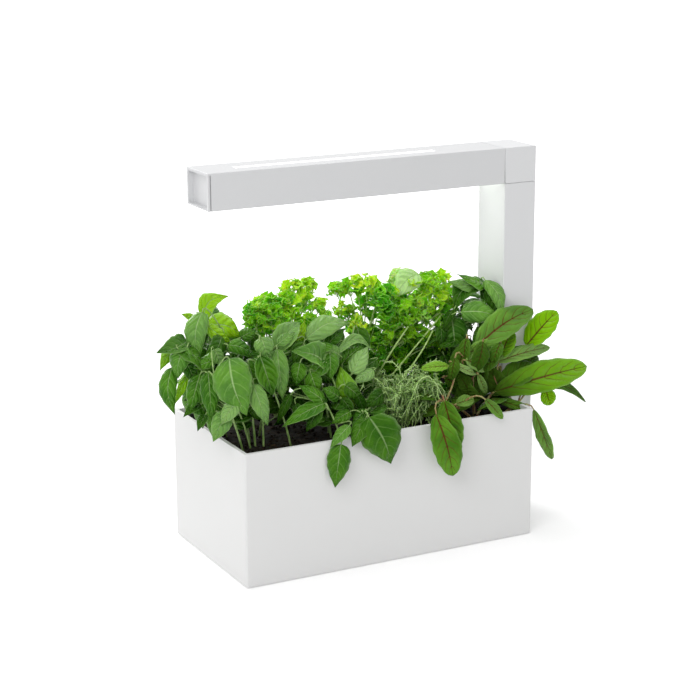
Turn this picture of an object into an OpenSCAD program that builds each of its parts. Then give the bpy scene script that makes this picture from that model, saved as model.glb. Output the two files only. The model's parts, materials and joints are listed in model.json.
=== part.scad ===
// Countertop herb garden: a planter box with a lamp arm on a rising post.
// Millimetres. X runs along the box towards the post, Y towards the back, Z up.
// The origin is the middle of the rubber pad's underside, on the worktop.

/* [Planter box] */
// Outside length of the box
box_l = 330; // [300:5:400]
// Outside width of the box, front to back
box_w = 178; // [150:2:220]
// Height of the rim above the worktop
box_h = 138; // [120:2:170]
// Thickness of the box walls
box_wall = 4; // [3:0.5:5]
// Thickness of the box floor
floor_t = 4; // [3:0.5:6]
// Radius of the box's upright edges
box_edge_r = 2; // [1:0.5:3]
// Gap between the worktop and the bottom edge of the box
skirt_gap = 1; // [0.5:0.25:1.5]
// Height of the corner pillars that carry the tray
pillar_h = 34; // [26:1:40]
// Side of a corner pillar
pillar_s = 14; // [10:1:18]

/* [Stand] */
// Thickness of the rubber pad
pad_t = 2; // [1.5:0.5:2.5]
// Rubber pad's ends, in from the base plate's
pad_in_l = 30; // [20:5:50]
// Rubber pad's sides, in from the base plate's
pad_in_w = 10; // [6:1:20]
// Thickness of the steel base plate
plate_t = 3; // [2:0.5:4]
// Base plate's sides, in from the box's
plate_in_w = 24; // [18:1:27]
// Base plate's ends, in from the box's
plate_in_l = 15; // [8:1:25]
// Width of the tongue that carries the mast
tongue_w = 40; // [36:1:46]
// Height of the mast
mast_h = 325; // [300:5:330]
// Wall of the mast
mast_wall = 2.5; // [2:0.5:3]

/* [Post and arm] */
// Width of the post along the box, and of the corner block
post_x = 38; // [36:1:44]
// Depth of the post and of the arm, front to back
post_y = 52; // [50:1:60]
// Wall of the post
post_wall = 2.5; // [2:0.5:3]
// Gap between the box's end and the post
post_gap = 0.4; // [0.3:0.1:1]
// Underside of the arm above the worktop
arm_z = 365; // [355:5:420]
// Height of the arm
arm_h = 37; // [35:1:42]
// How far the arm reaches past the box's other end
arm_overhang = 5; // [0:1:30]
// Wall of the arm and of the corner block
arm_wall = 2; // [1.5:0.5:2.5]
// Shadow gap between the arm, the corner block and the post
seam = 0.4; // [0.2:0.1:0.8]
// How far the lamp rises on its mast
lamp_travel = 120; // [60:5:140]
// Width of the light strip in the top of the arm
strip_w = 9; // [6:0.5:12]
// Start of the light strip, from the arm's free end
strip_start = 38; // [20:1:60]
// End of the light strip, from the corner block
strip_end = 71; // [20:1:160]
// Depth of the pocket in the arm's end cap
pocket_d = 6; // [5:0.5:7]

/* [Lamp inside] */
// Thickness of the light's circuit board
led_board_t = 1.6; // [1:0.2:2]
// Thickness of the heat spreader
spreader_t = 4; // [3:0.5:5]
// Height of the light's circuit board above the arm's underside
led_board_rise = 19; // [16:1:20]
// Lights in a row
led_count = 12; // [6:1:14]
// Side of one light
led_s = 5; // [3:0.5:6]
// Diameter of the power button
button_d = 9; // [7:0.5:11]
// Travel of the power button
button_travel = 0.8; // [0.5:0.1:1]

/* [Growing tray] */
// Gap between the tray and the box
tray_gap = 0.8; // [0.5:0.1:1.5]
// Wall of the tray
tray_wall = 1.8; // [1.5:0.1:2.5]
// Rim of the tray below the rim of the box
tray_drop = 6; // [4:1:10]
// Surface of the growing medium below the rim of the box
soil_drop = 10; // [8:1:14]
// Outside radius of the filler tube
tube_r = 14; // [13:0.5:16]
// Wall of the filler tube
tube_wall = 2; // [1.5:0.5:2]
// Radius of the float's stem
stem_r = 2; // [1.5:0.25:2.5]
// Wicks in the tray
wick_count = 3; // [1:1:5]

/* [Plants] */
// Thickness of a leaf
leaf_t = 1.6; // [1:0.2:2]
// Radius of a leaf stalk
twig_r = 1.5; // [1.2:0.1:1.8]
// Length of a full-grown basil leaf
basil_leaf = 48; // [40:1:50]
// Length of a full-grown sorrel leaf
sorrel_leaf = 76; // [60:1:80]

/* [Hidden] */
$fn = 48;

eps = 0.01;
slip = 0.2;        // gap of a plastic slide on its mast
fit = 0.1;         // gap of a plug in its socket
thread_gap = 0.05; // gap round a screw in its hole

// Box and stand
plate_l = box_l - 2 * plate_in_l;
plate_w = box_w - 2 * plate_in_w;
pad_l = plate_l - 2 * pad_in_l;
pad_w = plate_w - 2 * pad_in_w;
pad_r = 8;
plate_r = 6;
plate_top = pad_t + plate_t;
floor_top = plate_top + floor_t;
in_l = box_l - 2 * box_wall;
in_w = box_w - 2 * box_wall;
screw_r = 2;
plate_screw_x = plate_l / 2 - 15;
plate_screw_y = plate_w / 2 - 12;
plate_screw_l = plate_t + floor_t + 4;
boss_h = 8;
boss_r = 6;

// Post: a chamber for the mast in front, a wire channel behind
post_left = box_l / 2 + post_gap;
post_mid = post_left + post_x / 2;
post_right = post_left + post_x;
post_foot = plate_top + 1;
post_top = arm_z - seam;
chamber_x = post_x - 2 * post_wall;
web_t = 2;
channel_y = 8.6;
chamber_y = post_y - 2 * post_wall - web_t - channel_y;
chamber_front = -post_y / 2 + post_wall;
chamber_back = chamber_front + chamber_y;
channel_front = chamber_back + web_t;
glide_t = 1.5;
mast_x = chamber_x - 2 * glide_t - 2 * slip;
mast_y = chamber_y - 2 * glide_t - 2 * slip;
mast_mid_y = chamber_front + chamber_y / 2;
mast_foot_h = 8;
mast_screw_x = mast_x / 2 - mast_wall - 3.3;
mast_screw_y = mast_y / 2 - mast_wall - 4;
mast_screw_l = plate_t + mast_foot_h - 2;
mast_r = 2;
mast_top = plate_top + mast_h;
mast_back = mast_mid_y + mast_y / 2;
guide_h = 6;
guide_plug = 10;
bush_foot = post_foot + 2;
bush_h = 34;
stop_z = bush_foot + bush_h + 16;
stop_r = 2;
jack_z = post_foot + 26;
jack_r = 5;
jack_bore_r = 2.8;
jack_pin_r = 1;
jack_depth = 9;
jack_body_x = 14;
jack_body_z = 12;

// Arm and corner block
arm_left = -box_l / 2 - arm_overhang;
arm_right = post_left - seam;
arm_top = arm_z + arm_h;
cap_flange = 2;
cap_gap = 1.4;
cap_plug = 8;
side_left = arm_left + cap_flange + cap_gap;
plug_end = arm_left + cap_flange + cap_plug;
lip_w = 3;
lip_t = 1.5;
spigot_l = 12;
small_r = 1.5;          // radius of the corner's and the heat spreader's screws
small_bite = 2.2;       // how far a corner screw goes into its plug
small_deep = 12;
small_head = 1.8;
corner_screw_in = 9;
arm_in_y = post_y - 2 * arm_wall;
board_z = arm_z + led_board_rise;
spreader_z = board_z + led_board_t;
board_y = arm_in_y - 6;
rail_w = 1.8;
rail_t = 1.5;
board_left = plug_end + 4;
board_right = arm_right - spigot_l - 3;
spreader_right = board_right - 10;
spreader_screw_y = board_y / 2 - 5;
fin_step = 6;
fin_t = 1.2;
fin_h = 4;
diffuser_t = 2;
led_h = 1.2;
strip_y = -2;
strip_left = arm_left + strip_start;
strip_l = arm_right - strip_end - strip_left;
strip_lip = 2;
strip_t = 1.5;
button_z = board_z + 6;
button_lip = 1.2;
switch_face = post_right - arm_wall - 4;
switch_l = 5;
switch_w = 7;
switch_h = 7;
lead_r = 1.5;
lead_y = -arm_in_y / 4;
lead_z = spreader_z + 2.5;
lead_gap = 0.3;
supply_y = channel_front + lead_r + 2;
driver_in = 4;
driver_gap = 0.6;

// Tray
tray_foot = floor_top + pillar_h;
tray_floor_t = 2;
tray_floor = tray_foot + tray_floor_t;
tray_top = box_h - tray_drop;
tray_l = in_l - 2 * tray_gap;
tray_w = in_w - 2 * tray_gap;
soil_gap = 0.2;
mat_gap = 0.2;
soil_l = tray_l - 2 * tray_wall - 2 * soil_gap;
soil_w = tray_w - 2 * tray_wall - 2 * soil_gap;
soil_top = box_h - soil_drop;
tube_in_x = 32;
tube_in_y = 5;
tube_x = -tray_l / 2 + tube_r + tube_in_x;
tube_y = tray_w / 2 - tray_wall - tube_r - tube_in_y;
tube_top = box_h - 2;
bore_r = tube_r - tube_wall;
guide_t = 4;
guide_bar = 3;
hub_r = 4;
drain_r = 2.5;
float_r = bore_r - 2.5;
float_h = 14;
float_foot = floor_top + 0.3;
stem_top = tube_top + 6;
knob_h = 4;
wick_t = 3;
wick_w = 24;
wick_top = tray_floor + 26;
wick_foot = floor_top + 2;
wick_gap = 0.3;
wick_step = tray_l / (wick_count + 1);

// Plants: each stands at a share of the tray's length and width
rim_rise = soil_drop + 13;
grow = soil_l / 316.4;    // herbs that are as wide as their share of the tray
collar_r = 6;
collar_h = 8;
function at(u, v) = [u * soil_l / 2, v * soil_w / 2, soil_top];

// A slab with upright round edges, standing on z = 0 and centred
module slab(l, w, h, r) {
    linear_extrude(h) {
        square([l - 2 * r, w], center = true);
        square([l, w - 2 * r], center = true);
        for (sx = [-1, 1], sy = [-1, 1])
            translate([sx * (l / 2 - r), sy * (w / 2 - r)]) circle(r);
    }
}

// A box between two corners
module block(low, high) {
    translate(low) cube(high - low);
}

module foot_pad() {
    color("dimgray") slab(pad_l, pad_w, pad_t, pad_r);
}

module base_plate() {
    color("gainsboro") difference() {
        union() {
            translate([0, 0, pad_t]) slab(plate_l, plate_w, plate_t, plate_r);
            block([0, -tongue_w / 2, pad_t], [post_right - post_wall, tongue_w / 2, plate_top]);
        }
        at_plate_screws() screw_hole();
        at_mast_screws() screw_hole();
    }
}

// A countersunk screw with its head's face at z = 0, pointing up
module countersunk(r, l, grow) {
    translate([0, 0, -grow]) cylinder(h = r + grow, r1 = 2 * r + 2 * grow, r2 = r + grow);
    cylinder(h = l + grow, r = r + grow);
}

module screw_hole() {
    countersunk(screw_r, 20, thread_gap);
}

module at_plate_screws() {
    for (sx = [-1, 1], sy = [-1, 1])
        translate([sx * plate_screw_x, sy * plate_screw_y, pad_t]) children();
}

module at_mast_screws() {
    for (sx = [-1, 1], sy = [-1, 1])
        translate([post_mid + sx * mast_screw_x, mast_mid_y + sy * mast_screw_y, pad_t]) children();
}

module plate_screws() {
    color("silver") at_plate_screws() countersunk(screw_r, plate_screw_l, 0);
}

module mast_screws() {
    color("silver") at_mast_screws() countersunk(screw_r, mast_screw_l, 0);
}

module mast() {
    color("silver") difference() {
        translate([post_mid, mast_mid_y, plate_top]) slab(mast_x, mast_y, mast_h, mast_r);
        translate([post_mid, mast_mid_y, plate_top + mast_foot_h])
            slab(mast_x - 2 * mast_wall, mast_y - 2 * mast_wall, mast_h, 1);
        at_mast_screws() screw_hole();
        // The slot that the stop screw runs in
        for (z = [stop_z, stop_z + lamp_travel])
            translate([post_mid, mast_mid_y, z]) rotate([-90, 0, 0]) cylinder(h = mast_y, r = stop_r + fit);
        block([post_mid - stop_r - fit, mast_mid_y, stop_z],
              [post_mid + stop_r + fit, mast_back + 1, stop_z + lamp_travel]);
    }
}

module mast_guide() {
    color("whitesmoke") translate([post_mid, mast_mid_y, 0]) {
        translate([0, 0, mast_top]) slab(chamber_x - 2 * slip, chamber_y - 2 * slip, guide_h, 1);
        translate([0, 0, mast_top - guide_plug])
            slab(mast_x - 2 * mast_wall - 2 * fit, mast_y - 2 * mast_wall - 2 * fit, guide_plug + eps, 1);
    }
}

module planter_box() {
    color("white") difference() {
        union() {
            difference() {
                translate([0, 0, skirt_gap]) slab(box_l, box_w, box_h - skirt_gap, box_edge_r);
                translate([0, 0, floor_top]) slab(in_l, in_w, box_h, 1);
                translate([0, 0, -1]) slab(in_l, in_w, plate_top + 1, 1);
            }
            for (sx = [-1, 1], sy = [-1, 1])
                translate([sx * (in_l - pillar_s) / 2, sy * (in_w - pillar_s) / 2, floor_top - eps])
                    translate([-pillar_s / 2, -pillar_s / 2, 0]) cube([pillar_s, pillar_s, pillar_h + eps]);
            for (sx = [-1, 1], sy = [-1, 1])
                translate([sx * plate_screw_x, sy * plate_screw_y, floor_top - eps])
                    cylinder(h = boss_h, r = boss_r);
        }
        at_plate_screws() screw_hole_to(plate_screw_l + 1);
        // Notch for the base plate's tongue
        block([in_l / 2 - 2, -tongue_w / 2 - 0.5, 0], [box_l / 2 + 1, tongue_w / 2 + 0.5, plate_top + 0.3]);
    }
}

module screw_hole_to(l) {
    cylinder(h = l, r = screw_r + thread_gap);
}

module tray_box() {
    difference() {
        translate([0, 0, tray_foot]) slab(tray_l, tray_w, tray_top - tray_foot, 2);
        translate([0, 0, tray_floor]) slab(tray_l - 2 * tray_wall, tray_w - 2 * tray_wall, tray_top, 1);
    }
}

module grow_tray() {
    color("dimgray") difference() {
        union() {
            tray_box();
            translate([tube_x, tube_y, tray_foot]) cylinder(h = tube_top - tray_foot, r = tube_r);
        }
        translate([tube_x, tube_y, 0]) cylinder(h = box_h + 1, r = bore_r);
        at_wicks() wick_body(wick_gap, tray_foot - 1, tray_floor + 1);
        // Drain holes between the wicks
        for (i = [0 : wick_count], sy = [-1, 1])
            translate([(i - wick_count / 2) * wick_step, sy * tray_w / 4, 0])
                cylinder(h = tray_floor + 1, r = drain_r);
    }
}

module at_wicks() {
    for (i = [1 : wick_count]) translate([-tray_l / 2 + i * wick_step, 0, 0]) children();
}

module wick_body(gap, low, high) {
    block([-wick_t / 2 - gap, -wick_w / 2 - gap, low], [wick_t / 2 + gap, wick_w / 2 + gap, high]);
}

module wicks() {
    color("ivory") at_wicks() wick_body(0, wick_foot, wick_top);
}

// Four mats of growing medium, which leave a square shaft for the filler tube
module substrate() {
    shaft = tube_r + soil_gap;
    low = [tube_x - shaft, tube_y - shaft];
    high = [tube_x + shaft, tube_y + shaft];
    color("saddlebrown") difference() {
        intersection() {
            translate([0, 0, tray_floor]) slab(soil_l, soil_w, soil_top - tray_floor, 1);
            union() {
                block([-soil_l, -soil_w, 0], [low.x - mat_gap, soil_w, box_h]);
                block([high.x + mat_gap, -soil_w, 0], [soil_l, soil_w, box_h]);
                block([low.x, -soil_w, 0], [high.x, low.y, box_h]);
                block([low.x, high.y, 0], [high.x, soil_w, box_h]);
            }
        }
        at_wicks() wick_body(wick_gap, 0, wick_top + wick_gap);
    }
}

// A bar across the filler tube, with a bore for the float's stem
module float_guide() {
    color("whitesmoke") translate([tube_x, tube_y, tube_top - guide_t]) difference() {
        intersection() {
            cylinder(h = guide_t, r = bore_r - fit);
            union() {
                translate([-bore_r, -guide_bar / 2, 0]) cube([2 * bore_r, guide_bar, guide_t]);
                cylinder(h = guide_t, r = hub_r);
            }
        }
        translate([0, 0, -1]) cylinder(h = guide_t + 2, r = stem_r + 0.06);
    }
}

module level_float() {
    color("yellowgreen") translate([tube_x, tube_y, 0]) {
        translate([0, 0, float_foot]) cylinder(h = float_h, r = float_r);
        translate([0, 0, float_foot + 1]) cylinder(h = stem_top - float_foot, r = stem_r);
        translate([0, 0, stem_top]) cylinder(h = knob_h, r = stem_r + 1.5);
    }
}

// A flat leaf with a pointed outline, lying along +X from its stalk
module blade(len, wid) {
    arc_r = (len * len + wid * wid) / (4 * wid);
    linear_extrude(leaf_t, center = true) intersection() {
        translate([len / 2, arc_r - wid / 2]) circle(arc_r);
        translate([len / 2, wid / 2 - arc_r]) circle(arc_r);
    }
}

// A stalk that leaves its root at an angle and carries one blade
module sprig(az, rise, reach, tilt, len, wid) {
    rotate([0, 90 - rise, az]) cylinder(h = reach, r = twig_r, $fn = 24);
    translate(reach * [cos(rise) * cos(az), cos(rise) * sin(az), sin(rise)])
        rotate([0, -tilt, az]) translate([-3, 0, 0]) blade(len, wid);
}

// An upright stem with pairs of leaves, each pair turned from the last
module leafy_stem(h, pairs, len, turn) {
    cylinder(h = h, r = twig_r + 0.7, $fn = 24);
    for (i = [0 : pairs - 1], side = [0, 180])
        translate([0, 0, h * (0.5 + 0.5 * i / pairs)])
            sprig(turn + 80 * i + side, 35, 8, 5 - 10 * i, len * (1 - 0.15 * i), len * 0.6 * (1 - 0.15 * i));
    translate([0, 0, h - 2]) sprig(turn + 40, 60, 5, 50, len * 0.5, len * 0.3);
}

// A bare stem whose last leaf hangs over the rim
module hanging_stem(h, az, rise, reach, tilt, len, wid) {
    cylinder(h = h, r = twig_r + 0.7, $fn = 24);
    translate([0, 0, h - 6]) sprig(az, rise, reach, tilt, len, wid);
}

module basil_left() {
    color("forestgreen") {
        translate(at(-0.82, -0.32)) leafy_stem(130, 3, basil_leaf, 20);
        translate(at(-0.62, -0.66)) leafy_stem(86, 2, basil_leaf * 0.9, 60);
        translate(at(-0.88, 0.3)) leafy_stem(108, 2, basil_leaf * 0.85, 110);
        translate(at(-0.9, 0.05)) hanging_stem(60, 185, 40, 44, -38, basil_leaf, 30);
        translate(at(-0.94, -0.6)) hanging_stem(40, 190, 25, 34, -60, basil_leaf, 26);
    }
}

module basil_centre() {
    color("green") {
        translate(at(-0.3, -0.45)) leafy_stem(100, 2, basil_leaf * 0.9, 90);
        translate(at(-0.12, -0.3)) leafy_stem(72, 2, basil_leaf * 0.75, 20);
        translate(at(-0.3, -0.85)) hanging_stem(40, -95, 10, 22, -78, basil_leaf * 1.4, 26);
        translate(at(-0.1, -0.85)) hanging_stem(36, -80, 12, 24, -60, basil_leaf, 32);
    }
}

module basil_right() {
    color("darkgreen") {
        translate(at(0.72, 0.62)) leafy_stem(150, 2, basil_leaf * 0.62, 40);
    }
}

// A tuft of thin stalks with small leaves on top
module tuft(count, rise, reach, len) {
    turn = 360 / count;
    for (i = [0 : count - 1])
        translate([collar_r / 2 * cos(i * turn), collar_r / 2 * sin(i * turn), 1])
            sprig(i * turn, rise - 6 * (i % 2), reach + 8 * (i % 3), 20, len, len * 0.7);
    cylinder(h = collar_h, r = collar_r, $fn = 24);
}

module parsley_left() {
    color("limegreen") translate(at(-0.42, 0.5)) tuft(8, 80, 122, 26 * grow);
}

module parsley_right() {
    color("limegreen") translate(at(0.18, 0.4)) tuft(8, 79, 124, 27 * grow);
}

module thyme() {
    color("olivedrab") translate(at(0.32, -0.5)) tuft(8, 52, 44 * grow, 14 * grow);
}

// A stalk from the root to a point beyond the rim, where its blade hangs down
module draped(reach, tilt, len, wid) {
    dist = norm([reach.x, reach.y]);
    sprig(atan2(reach.y, reach.x), atan2(reach.z, dist), norm(reach), tilt, len, wid);
}

module sorrel() {
    front = box_w / 2 + 0.62 * -soil_w / 2;
    side = box_l / 2 - 0.86 * soil_l / 2;
    color("seagreen") {
        translate(at(0.74, -0.62)) {
            translate([4, 0, 2]) sprig(-3, 16, 66, -4, sorrel_leaf, 32);
            translate([4, -1, 2]) sprig(-14, 34, 60, 10, sorrel_leaf * 0.9, 26);
            translate([2, 2, 1]) sprig(-12, 60, 70, 20, sorrel_leaf * 0.8, 28);
            translate([-4, 3, 1]) sprig(150, 66, 66 * grow, 20, sorrel_leaf * 0.7 * grow, 24);
            translate([-2, 4, 1]) sprig(100, 70, 70, 40, sorrel_leaf * 0.6, 24);
            translate([-4, -3, 2]) draped([-14, -front - 6, rim_rise], -76, sorrel_leaf * 0.9, 28);
            translate([4, -4, 2]) draped([16, -front - 8, rim_rise], -70, sorrel_leaf * 0.7, 24);
            cylinder(h = 10, r = 8, $fn = 24);
        }
        translate(at(0.86, -0.8)) {
            translate([0, 0, 2]) draped([side + 10, -4, rim_rise], -74, sorrel_leaf * 0.8, 24);
            cylinder(h = 10, r = 4, $fn = 24);
        }
    }
}

module post_housing() {
    color("white") difference() {
        translate([post_mid, 0, post_foot]) slab(post_x, post_y, post_top - post_foot, 1);
        block([post_mid - chamber_x / 2, chamber_front, 0],
              [post_mid + chamber_x / 2, chamber_back, post_top + 1]);
        block([post_mid - chamber_x / 2, channel_front, 0],
              [post_mid + chamber_x / 2, post_y / 2 - post_wall, post_top + 1]);
        translate([post_mid, 0, jack_z]) rotate([-90, 0, 0]) cylinder(h = post_y, r = jack_r + fit);
        translate([post_mid, chamber_back - 1, stop_z]) rotate([-90, 0, 0])
            cylinder(h = web_t + 2, r = stop_r + thread_gap);
        at_corner_post_screws() countersunk(small_r, small_deep, thread_gap);
    }
}

module glide_bush() {
    color("whitesmoke") translate([post_mid, mast_mid_y, bush_foot]) difference() {
        translate([-chamber_x / 2, -chamber_y / 2, 0]) cube([chamber_x, chamber_y, bush_h]);
        translate([0, 0, -1]) slab(mast_x + 2 * slip, mast_y + 2 * slip, bush_h + 2, mast_r);
    }
}

module stop_screw() {
    color("silver") translate([post_mid, 0, stop_z]) rotate([90, 0, 0]) {
        translate([0, 0, -channel_front]) cylinder(h = channel_front - mast_back + mast_wall, r = stop_r);
        translate([0, 0, -channel_front - 2]) cylinder(h = 2, r = 2 * stop_r);
    }
}

module dc_jack() {
    color("black") translate([post_mid, post_y / 2, jack_z]) rotate([90, 0, 0]) difference() {
        union() {
            cylinder(h = post_wall + 1, r = jack_r);
            translate([-jack_body_x / 2, -jack_body_z / 2, post_wall])
                cube([jack_body_x, jack_body_z, channel_y - 0.3]);
        }
        difference() {
            translate([0, 0, -1]) cylinder(h = jack_depth + 1, r = jack_bore_r);
            cylinder(h = jack_depth + 1, r = jack_pin_r);
        }
    }
}

module at_corner_post_screws() {
    for (y = [chamber_front + corner_screw_in, chamber_back - corner_screw_in])
        translate([post_right, y, post_top - spigot_l / 2]) rotate([0, -90, 0]) children();
}

module at_corner_arm_screws() {
    for (z = [arm_z + corner_screw_in + 3, arm_top - corner_screw_in])
        translate([arm_right - spigot_l / 2, post_y / 2, z]) rotate([90, 0, 0]) children();
}

module corner_screws() {
    color("silver") {
        at_corner_post_screws() countersunk(small_r, post_wall + small_bite, 0);
        at_corner_arm_screws() countersunk(small_r, arm_wall + small_bite, 0);
    }
}

module corner_block() {
    spigot_wall = 2.5;
    spigot_low = arm_z + lip_t + diffuser_t + 0.3;
    color("white") difference() {
        union() {
            difference() {
                translate([post_mid, 0, arm_z]) slab(post_x, post_y, arm_h, 1);
                block([post_left - 1, -post_y / 2 + arm_wall, spigot_low],
                      [post_right - arm_wall, post_y / 2 - arm_wall, arm_top - arm_wall]);
            }
            // Plug that goes down into the post
            block([post_mid - chamber_x / 2 + fit, chamber_front + fit, post_top - spigot_l],
                  [post_mid + chamber_x / 2 - fit, chamber_back - fit, arm_z + eps]);
            // Plug that goes into the arm
            block([arm_right - spigot_l, -arm_in_y / 2 + fit, spigot_low],
                  [post_left + 3, arm_in_y / 2 - fit, arm_top - arm_wall - fit]);
            // Rails that carry the driver's board
            for (side = [-1, 1])
                block([post_left + 3, side * (arm_in_y / 2 - 1) - 2, board_z - rail_t],
                      [post_right - arm_wall + eps, side * (arm_in_y / 2 - 1) + 2, board_z]);
        }
        block([post_mid - chamber_x / 2 + fit + spigot_wall, chamber_front + fit + spigot_wall, 0],
              [post_mid + chamber_x / 2 - fit - spigot_wall, chamber_back - fit - spigot_wall, board_z - 4]);
        // Way for the wires, down into the post's rear channel
        block([post_mid - 8, channel_front, arm_z - 1], [post_mid + 8, post_y / 2 - post_wall, board_z - 4]);
        block([arm_right - spigot_l - 1, -arm_in_y / 2 + fit + spigot_wall, spigot_low + spigot_wall],
              [post_left + 3 + eps, arm_in_y / 2 - fit - spigot_wall,
               arm_top - arm_wall - fit - spigot_wall]);
        translate([post_right - arm_wall - 1, 0, button_z]) rotate([0, 90, 0])
            cylinder(h = arm_wall + 2, r = button_d / 2 + 0.08);
        at_corner_post_screws() countersunk(small_r, small_deep, thread_gap);
        at_corner_arm_screws() countersunk(small_r, small_deep, thread_gap);
    }
}

module driver_board() {
    color("seagreen") difference() {
        block([post_left + driver_in, -arm_in_y / 2 + driver_gap, board_z],
              [post_right - arm_wall - driver_in, arm_in_y / 2 - driver_gap, board_z + led_board_t]);
        translate([post_mid, supply_y, 0]) cylinder(h = arm_top, r = lead_r + lead_gap);
    }
}

module driver_parts() {
    top = board_z + led_board_t;
    coil = [12, 14, 8];
    can_r = 4;
    can_h = 8;
    cell_r = 3.5;
    cell_h = 7;
    plug_r = 4;
    plug_h = 5;
    color("gold") {
        translate([post_left + coil.x, -coil.y / 2 + 1, top]) cube(coil);
        translate([post_left + 10, -arm_in_y / 2 + can_r + 2, top]) cylinder(h = can_h, r = can_r);
        translate([post_left + 20, -arm_in_y / 2 + cell_r + 3, top]) cylinder(h = cell_h, r = cell_r);
        // Sockets for the light's lead and for the supply lead
        block([post_left + driver_in, lead_y - plug_r, top],
              [post_left + driver_in + 1, lead_y + plug_r, top + plug_h]);
        translate([post_mid, supply_y, top]) difference() {
            cylinder(h = plug_h, r = plug_r);
            translate([0, 0, -1]) cylinder(h = plug_h - 1, r = lead_r + lead_gap);
        }
    }
}

module light_switch() {
    top = board_z + led_board_t;
    color("dimgray")
        block([switch_face - switch_l, -switch_w / 2, top], [switch_face, switch_w / 2, top + switch_h]);
}

module power_button() {
    color("lightgray") translate([0, 0, button_z]) rotate([0, 90, 0]) {
        translate([0, 0, switch_face + button_travel + 0.3])
            cylinder(h = post_right - switch_face - button_travel + 0.7, r = button_d / 2);
        translate([0, 0, post_right - arm_wall - button_lip])
            cylinder(h = button_lip, r = button_d / 2 + button_lip);
    }
}

module arm_housing() {
    color("white") difference() {
        union() {
            block([arm_left, -post_y / 2, arm_top - arm_wall], [arm_right, post_y / 2, arm_top]);
            for (side = [-1, 1]) {
                block([side_left, side * (post_y - arm_wall) / 2 - arm_wall / 2, arm_z],
                      [arm_right, side * (post_y - arm_wall) / 2 + arm_wall / 2, arm_top - arm_wall + eps]);
                // Lip that holds the diffuser
                block([plug_end + 0.2, side * (arm_in_y - lip_w) / 2 - lip_w / 2 - eps, arm_z],
                      [arm_right, side * (arm_in_y - lip_w) / 2 + lip_w / 2 + eps, arm_z + lip_t]);
                // Rail that carries the heat spreader
                block([plug_end + 2, side * (arm_in_y - rail_w) / 2 - rail_w / 2 - eps, spreader_z - rail_t],
                      [board_right, side * (arm_in_y - rail_w) / 2 + rail_w / 2 + eps, spreader_z]);
            }
        }
        block([strip_left, strip_y - strip_w / 2, arm_top - arm_wall - 1],
              [strip_left + strip_l, strip_y + strip_w / 2, arm_top + 1]);
        at_corner_arm_screws() countersunk(small_r, small_deep, thread_gap);
    }
}

module end_cap() {
    cap_top = arm_top - arm_wall;
    plug_y = arm_in_y / 2 - fit;
    color("white") difference() {
        union() {
            block([arm_left, -post_y / 2, arm_z], [arm_left + cap_flange, post_y / 2, cap_top]);
            block([arm_left + cap_flange - eps, -plug_y, arm_z], [plug_end, plug_y, cap_top]);
        }
        block([arm_left - 1, -plug_y + 1.5, arm_z + 1.6], [arm_left + pocket_d, plug_y - 1.5, cap_top - 1]);
    }
}

module light_strip() {
    color("white") {
        block([strip_left + fit, strip_y - strip_w / 2 + fit, arm_top - arm_wall - eps],
              [strip_left + strip_l - fit, strip_y + strip_w / 2 - fit, arm_top - 0.3]);
        block([strip_left - strip_lip, strip_y - strip_w / 2 - strip_lip, arm_top - arm_wall - strip_t],
              [strip_left + strip_l + strip_lip, strip_y + strip_w / 2 + strip_lip, arm_top - arm_wall]);
    }
}

// Four pairs of screws, evenly along the heat spreader
module at_spreader_screws() {
    step = (spreader_right - board_left - 2 * small_deep) / 3;
    for (i = [0 : 3], side = [-1, 1])
        translate([board_left + small_deep + i * step, side * spreader_screw_y, board_z]) children();
}

module heat_spreader() {
    color("lightsteelblue") difference() {
        union() {
            block([board_left, -arm_in_y / 2 + 0.2, spreader_z],
                  [spreader_right, arm_in_y / 2 - 0.2, spreader_z + spreader_t]);
            for (i = [-3 : 3])
                block([board_left + fin_h, i * fin_step - fin_t / 2, spreader_z + spreader_t - eps],
                      [spreader_right - fin_h, i * fin_step + fin_t / 2, spreader_z + spreader_t + fin_h]);
        }
        at_spreader_screws() cylinder(h = 6, r = small_r + thread_gap);
    }
}

module led_board() {
    color("white") {
        difference() {
            block([board_left, -board_y / 2, board_z], [board_right, board_y / 2, spreader_z]);
            at_spreader_screws() translate([0, 0, -1]) cylinder(h = 6, r = small_r + thread_gap);
        }
        block([board_right - 6, lead_y - 4, spreader_z - eps], [board_right, lead_y + 4, spreader_z + 5]);
    }
}

module leds() {
    pitch = (spreader_right - board_left) / led_count;
    color("khaki") for (i = [0 : led_count - 1], side = [-1, 1])
        translate([board_left + pitch * (i + 0.5) - led_s / 2, side * 8 - led_s / 2, board_z - led_h])
            cube([led_s, led_s, led_h]);
}

module spreader_screws() {
    color("silver") at_spreader_screws() {
        translate([0, 0, -small_head]) cylinder(h = small_head, r = small_head + 1);
        translate([0, 0, -eps]) cylinder(h = 5, r = small_r);
    }
}

module diffuser() {
    color("mintcream") block([plug_end + 0.2, -arm_in_y / 2 + 0.2, arm_z + lip_t],
                             [arm_right - 1, arm_in_y / 2 - 0.2, arm_z + lip_t + diffuser_t]);
}

module supply_lead() {
    low = jack_z + jack_body_z / 2;
    color("black") translate([post_mid, supply_y, low])
        cylinder(h = board_z + led_board_t + 3 - low, r = lead_r);
}

module light_lead() {
    color("black") translate([board_right, lead_y, lead_z]) rotate([0, 90, 0])
        cylinder(h = post_left + driver_in - board_right, r = lead_r);
}

foot_pad();
base_plate();
plate_screws();
mast_screws();
mast();
mast_guide();
planter_box();
grow_tray();
substrate();
wicks();
float_guide();
level_float();
basil_left();
basil_centre();
basil_right();
parsley_left();
parsley_right();
thyme();
sorrel();
post_housing();
glide_bush();
stop_screw();
dc_jack();
corner_block();
corner_screws();
driver_board();
driver_parts();
light_switch();
power_button();
arm_housing();
end_cap();
light_strip();
heat_spreader();
led_board();
leds();
spreader_screws();
diffuser();
supply_lead();
light_lead();
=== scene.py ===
import json
import math
import random

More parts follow.
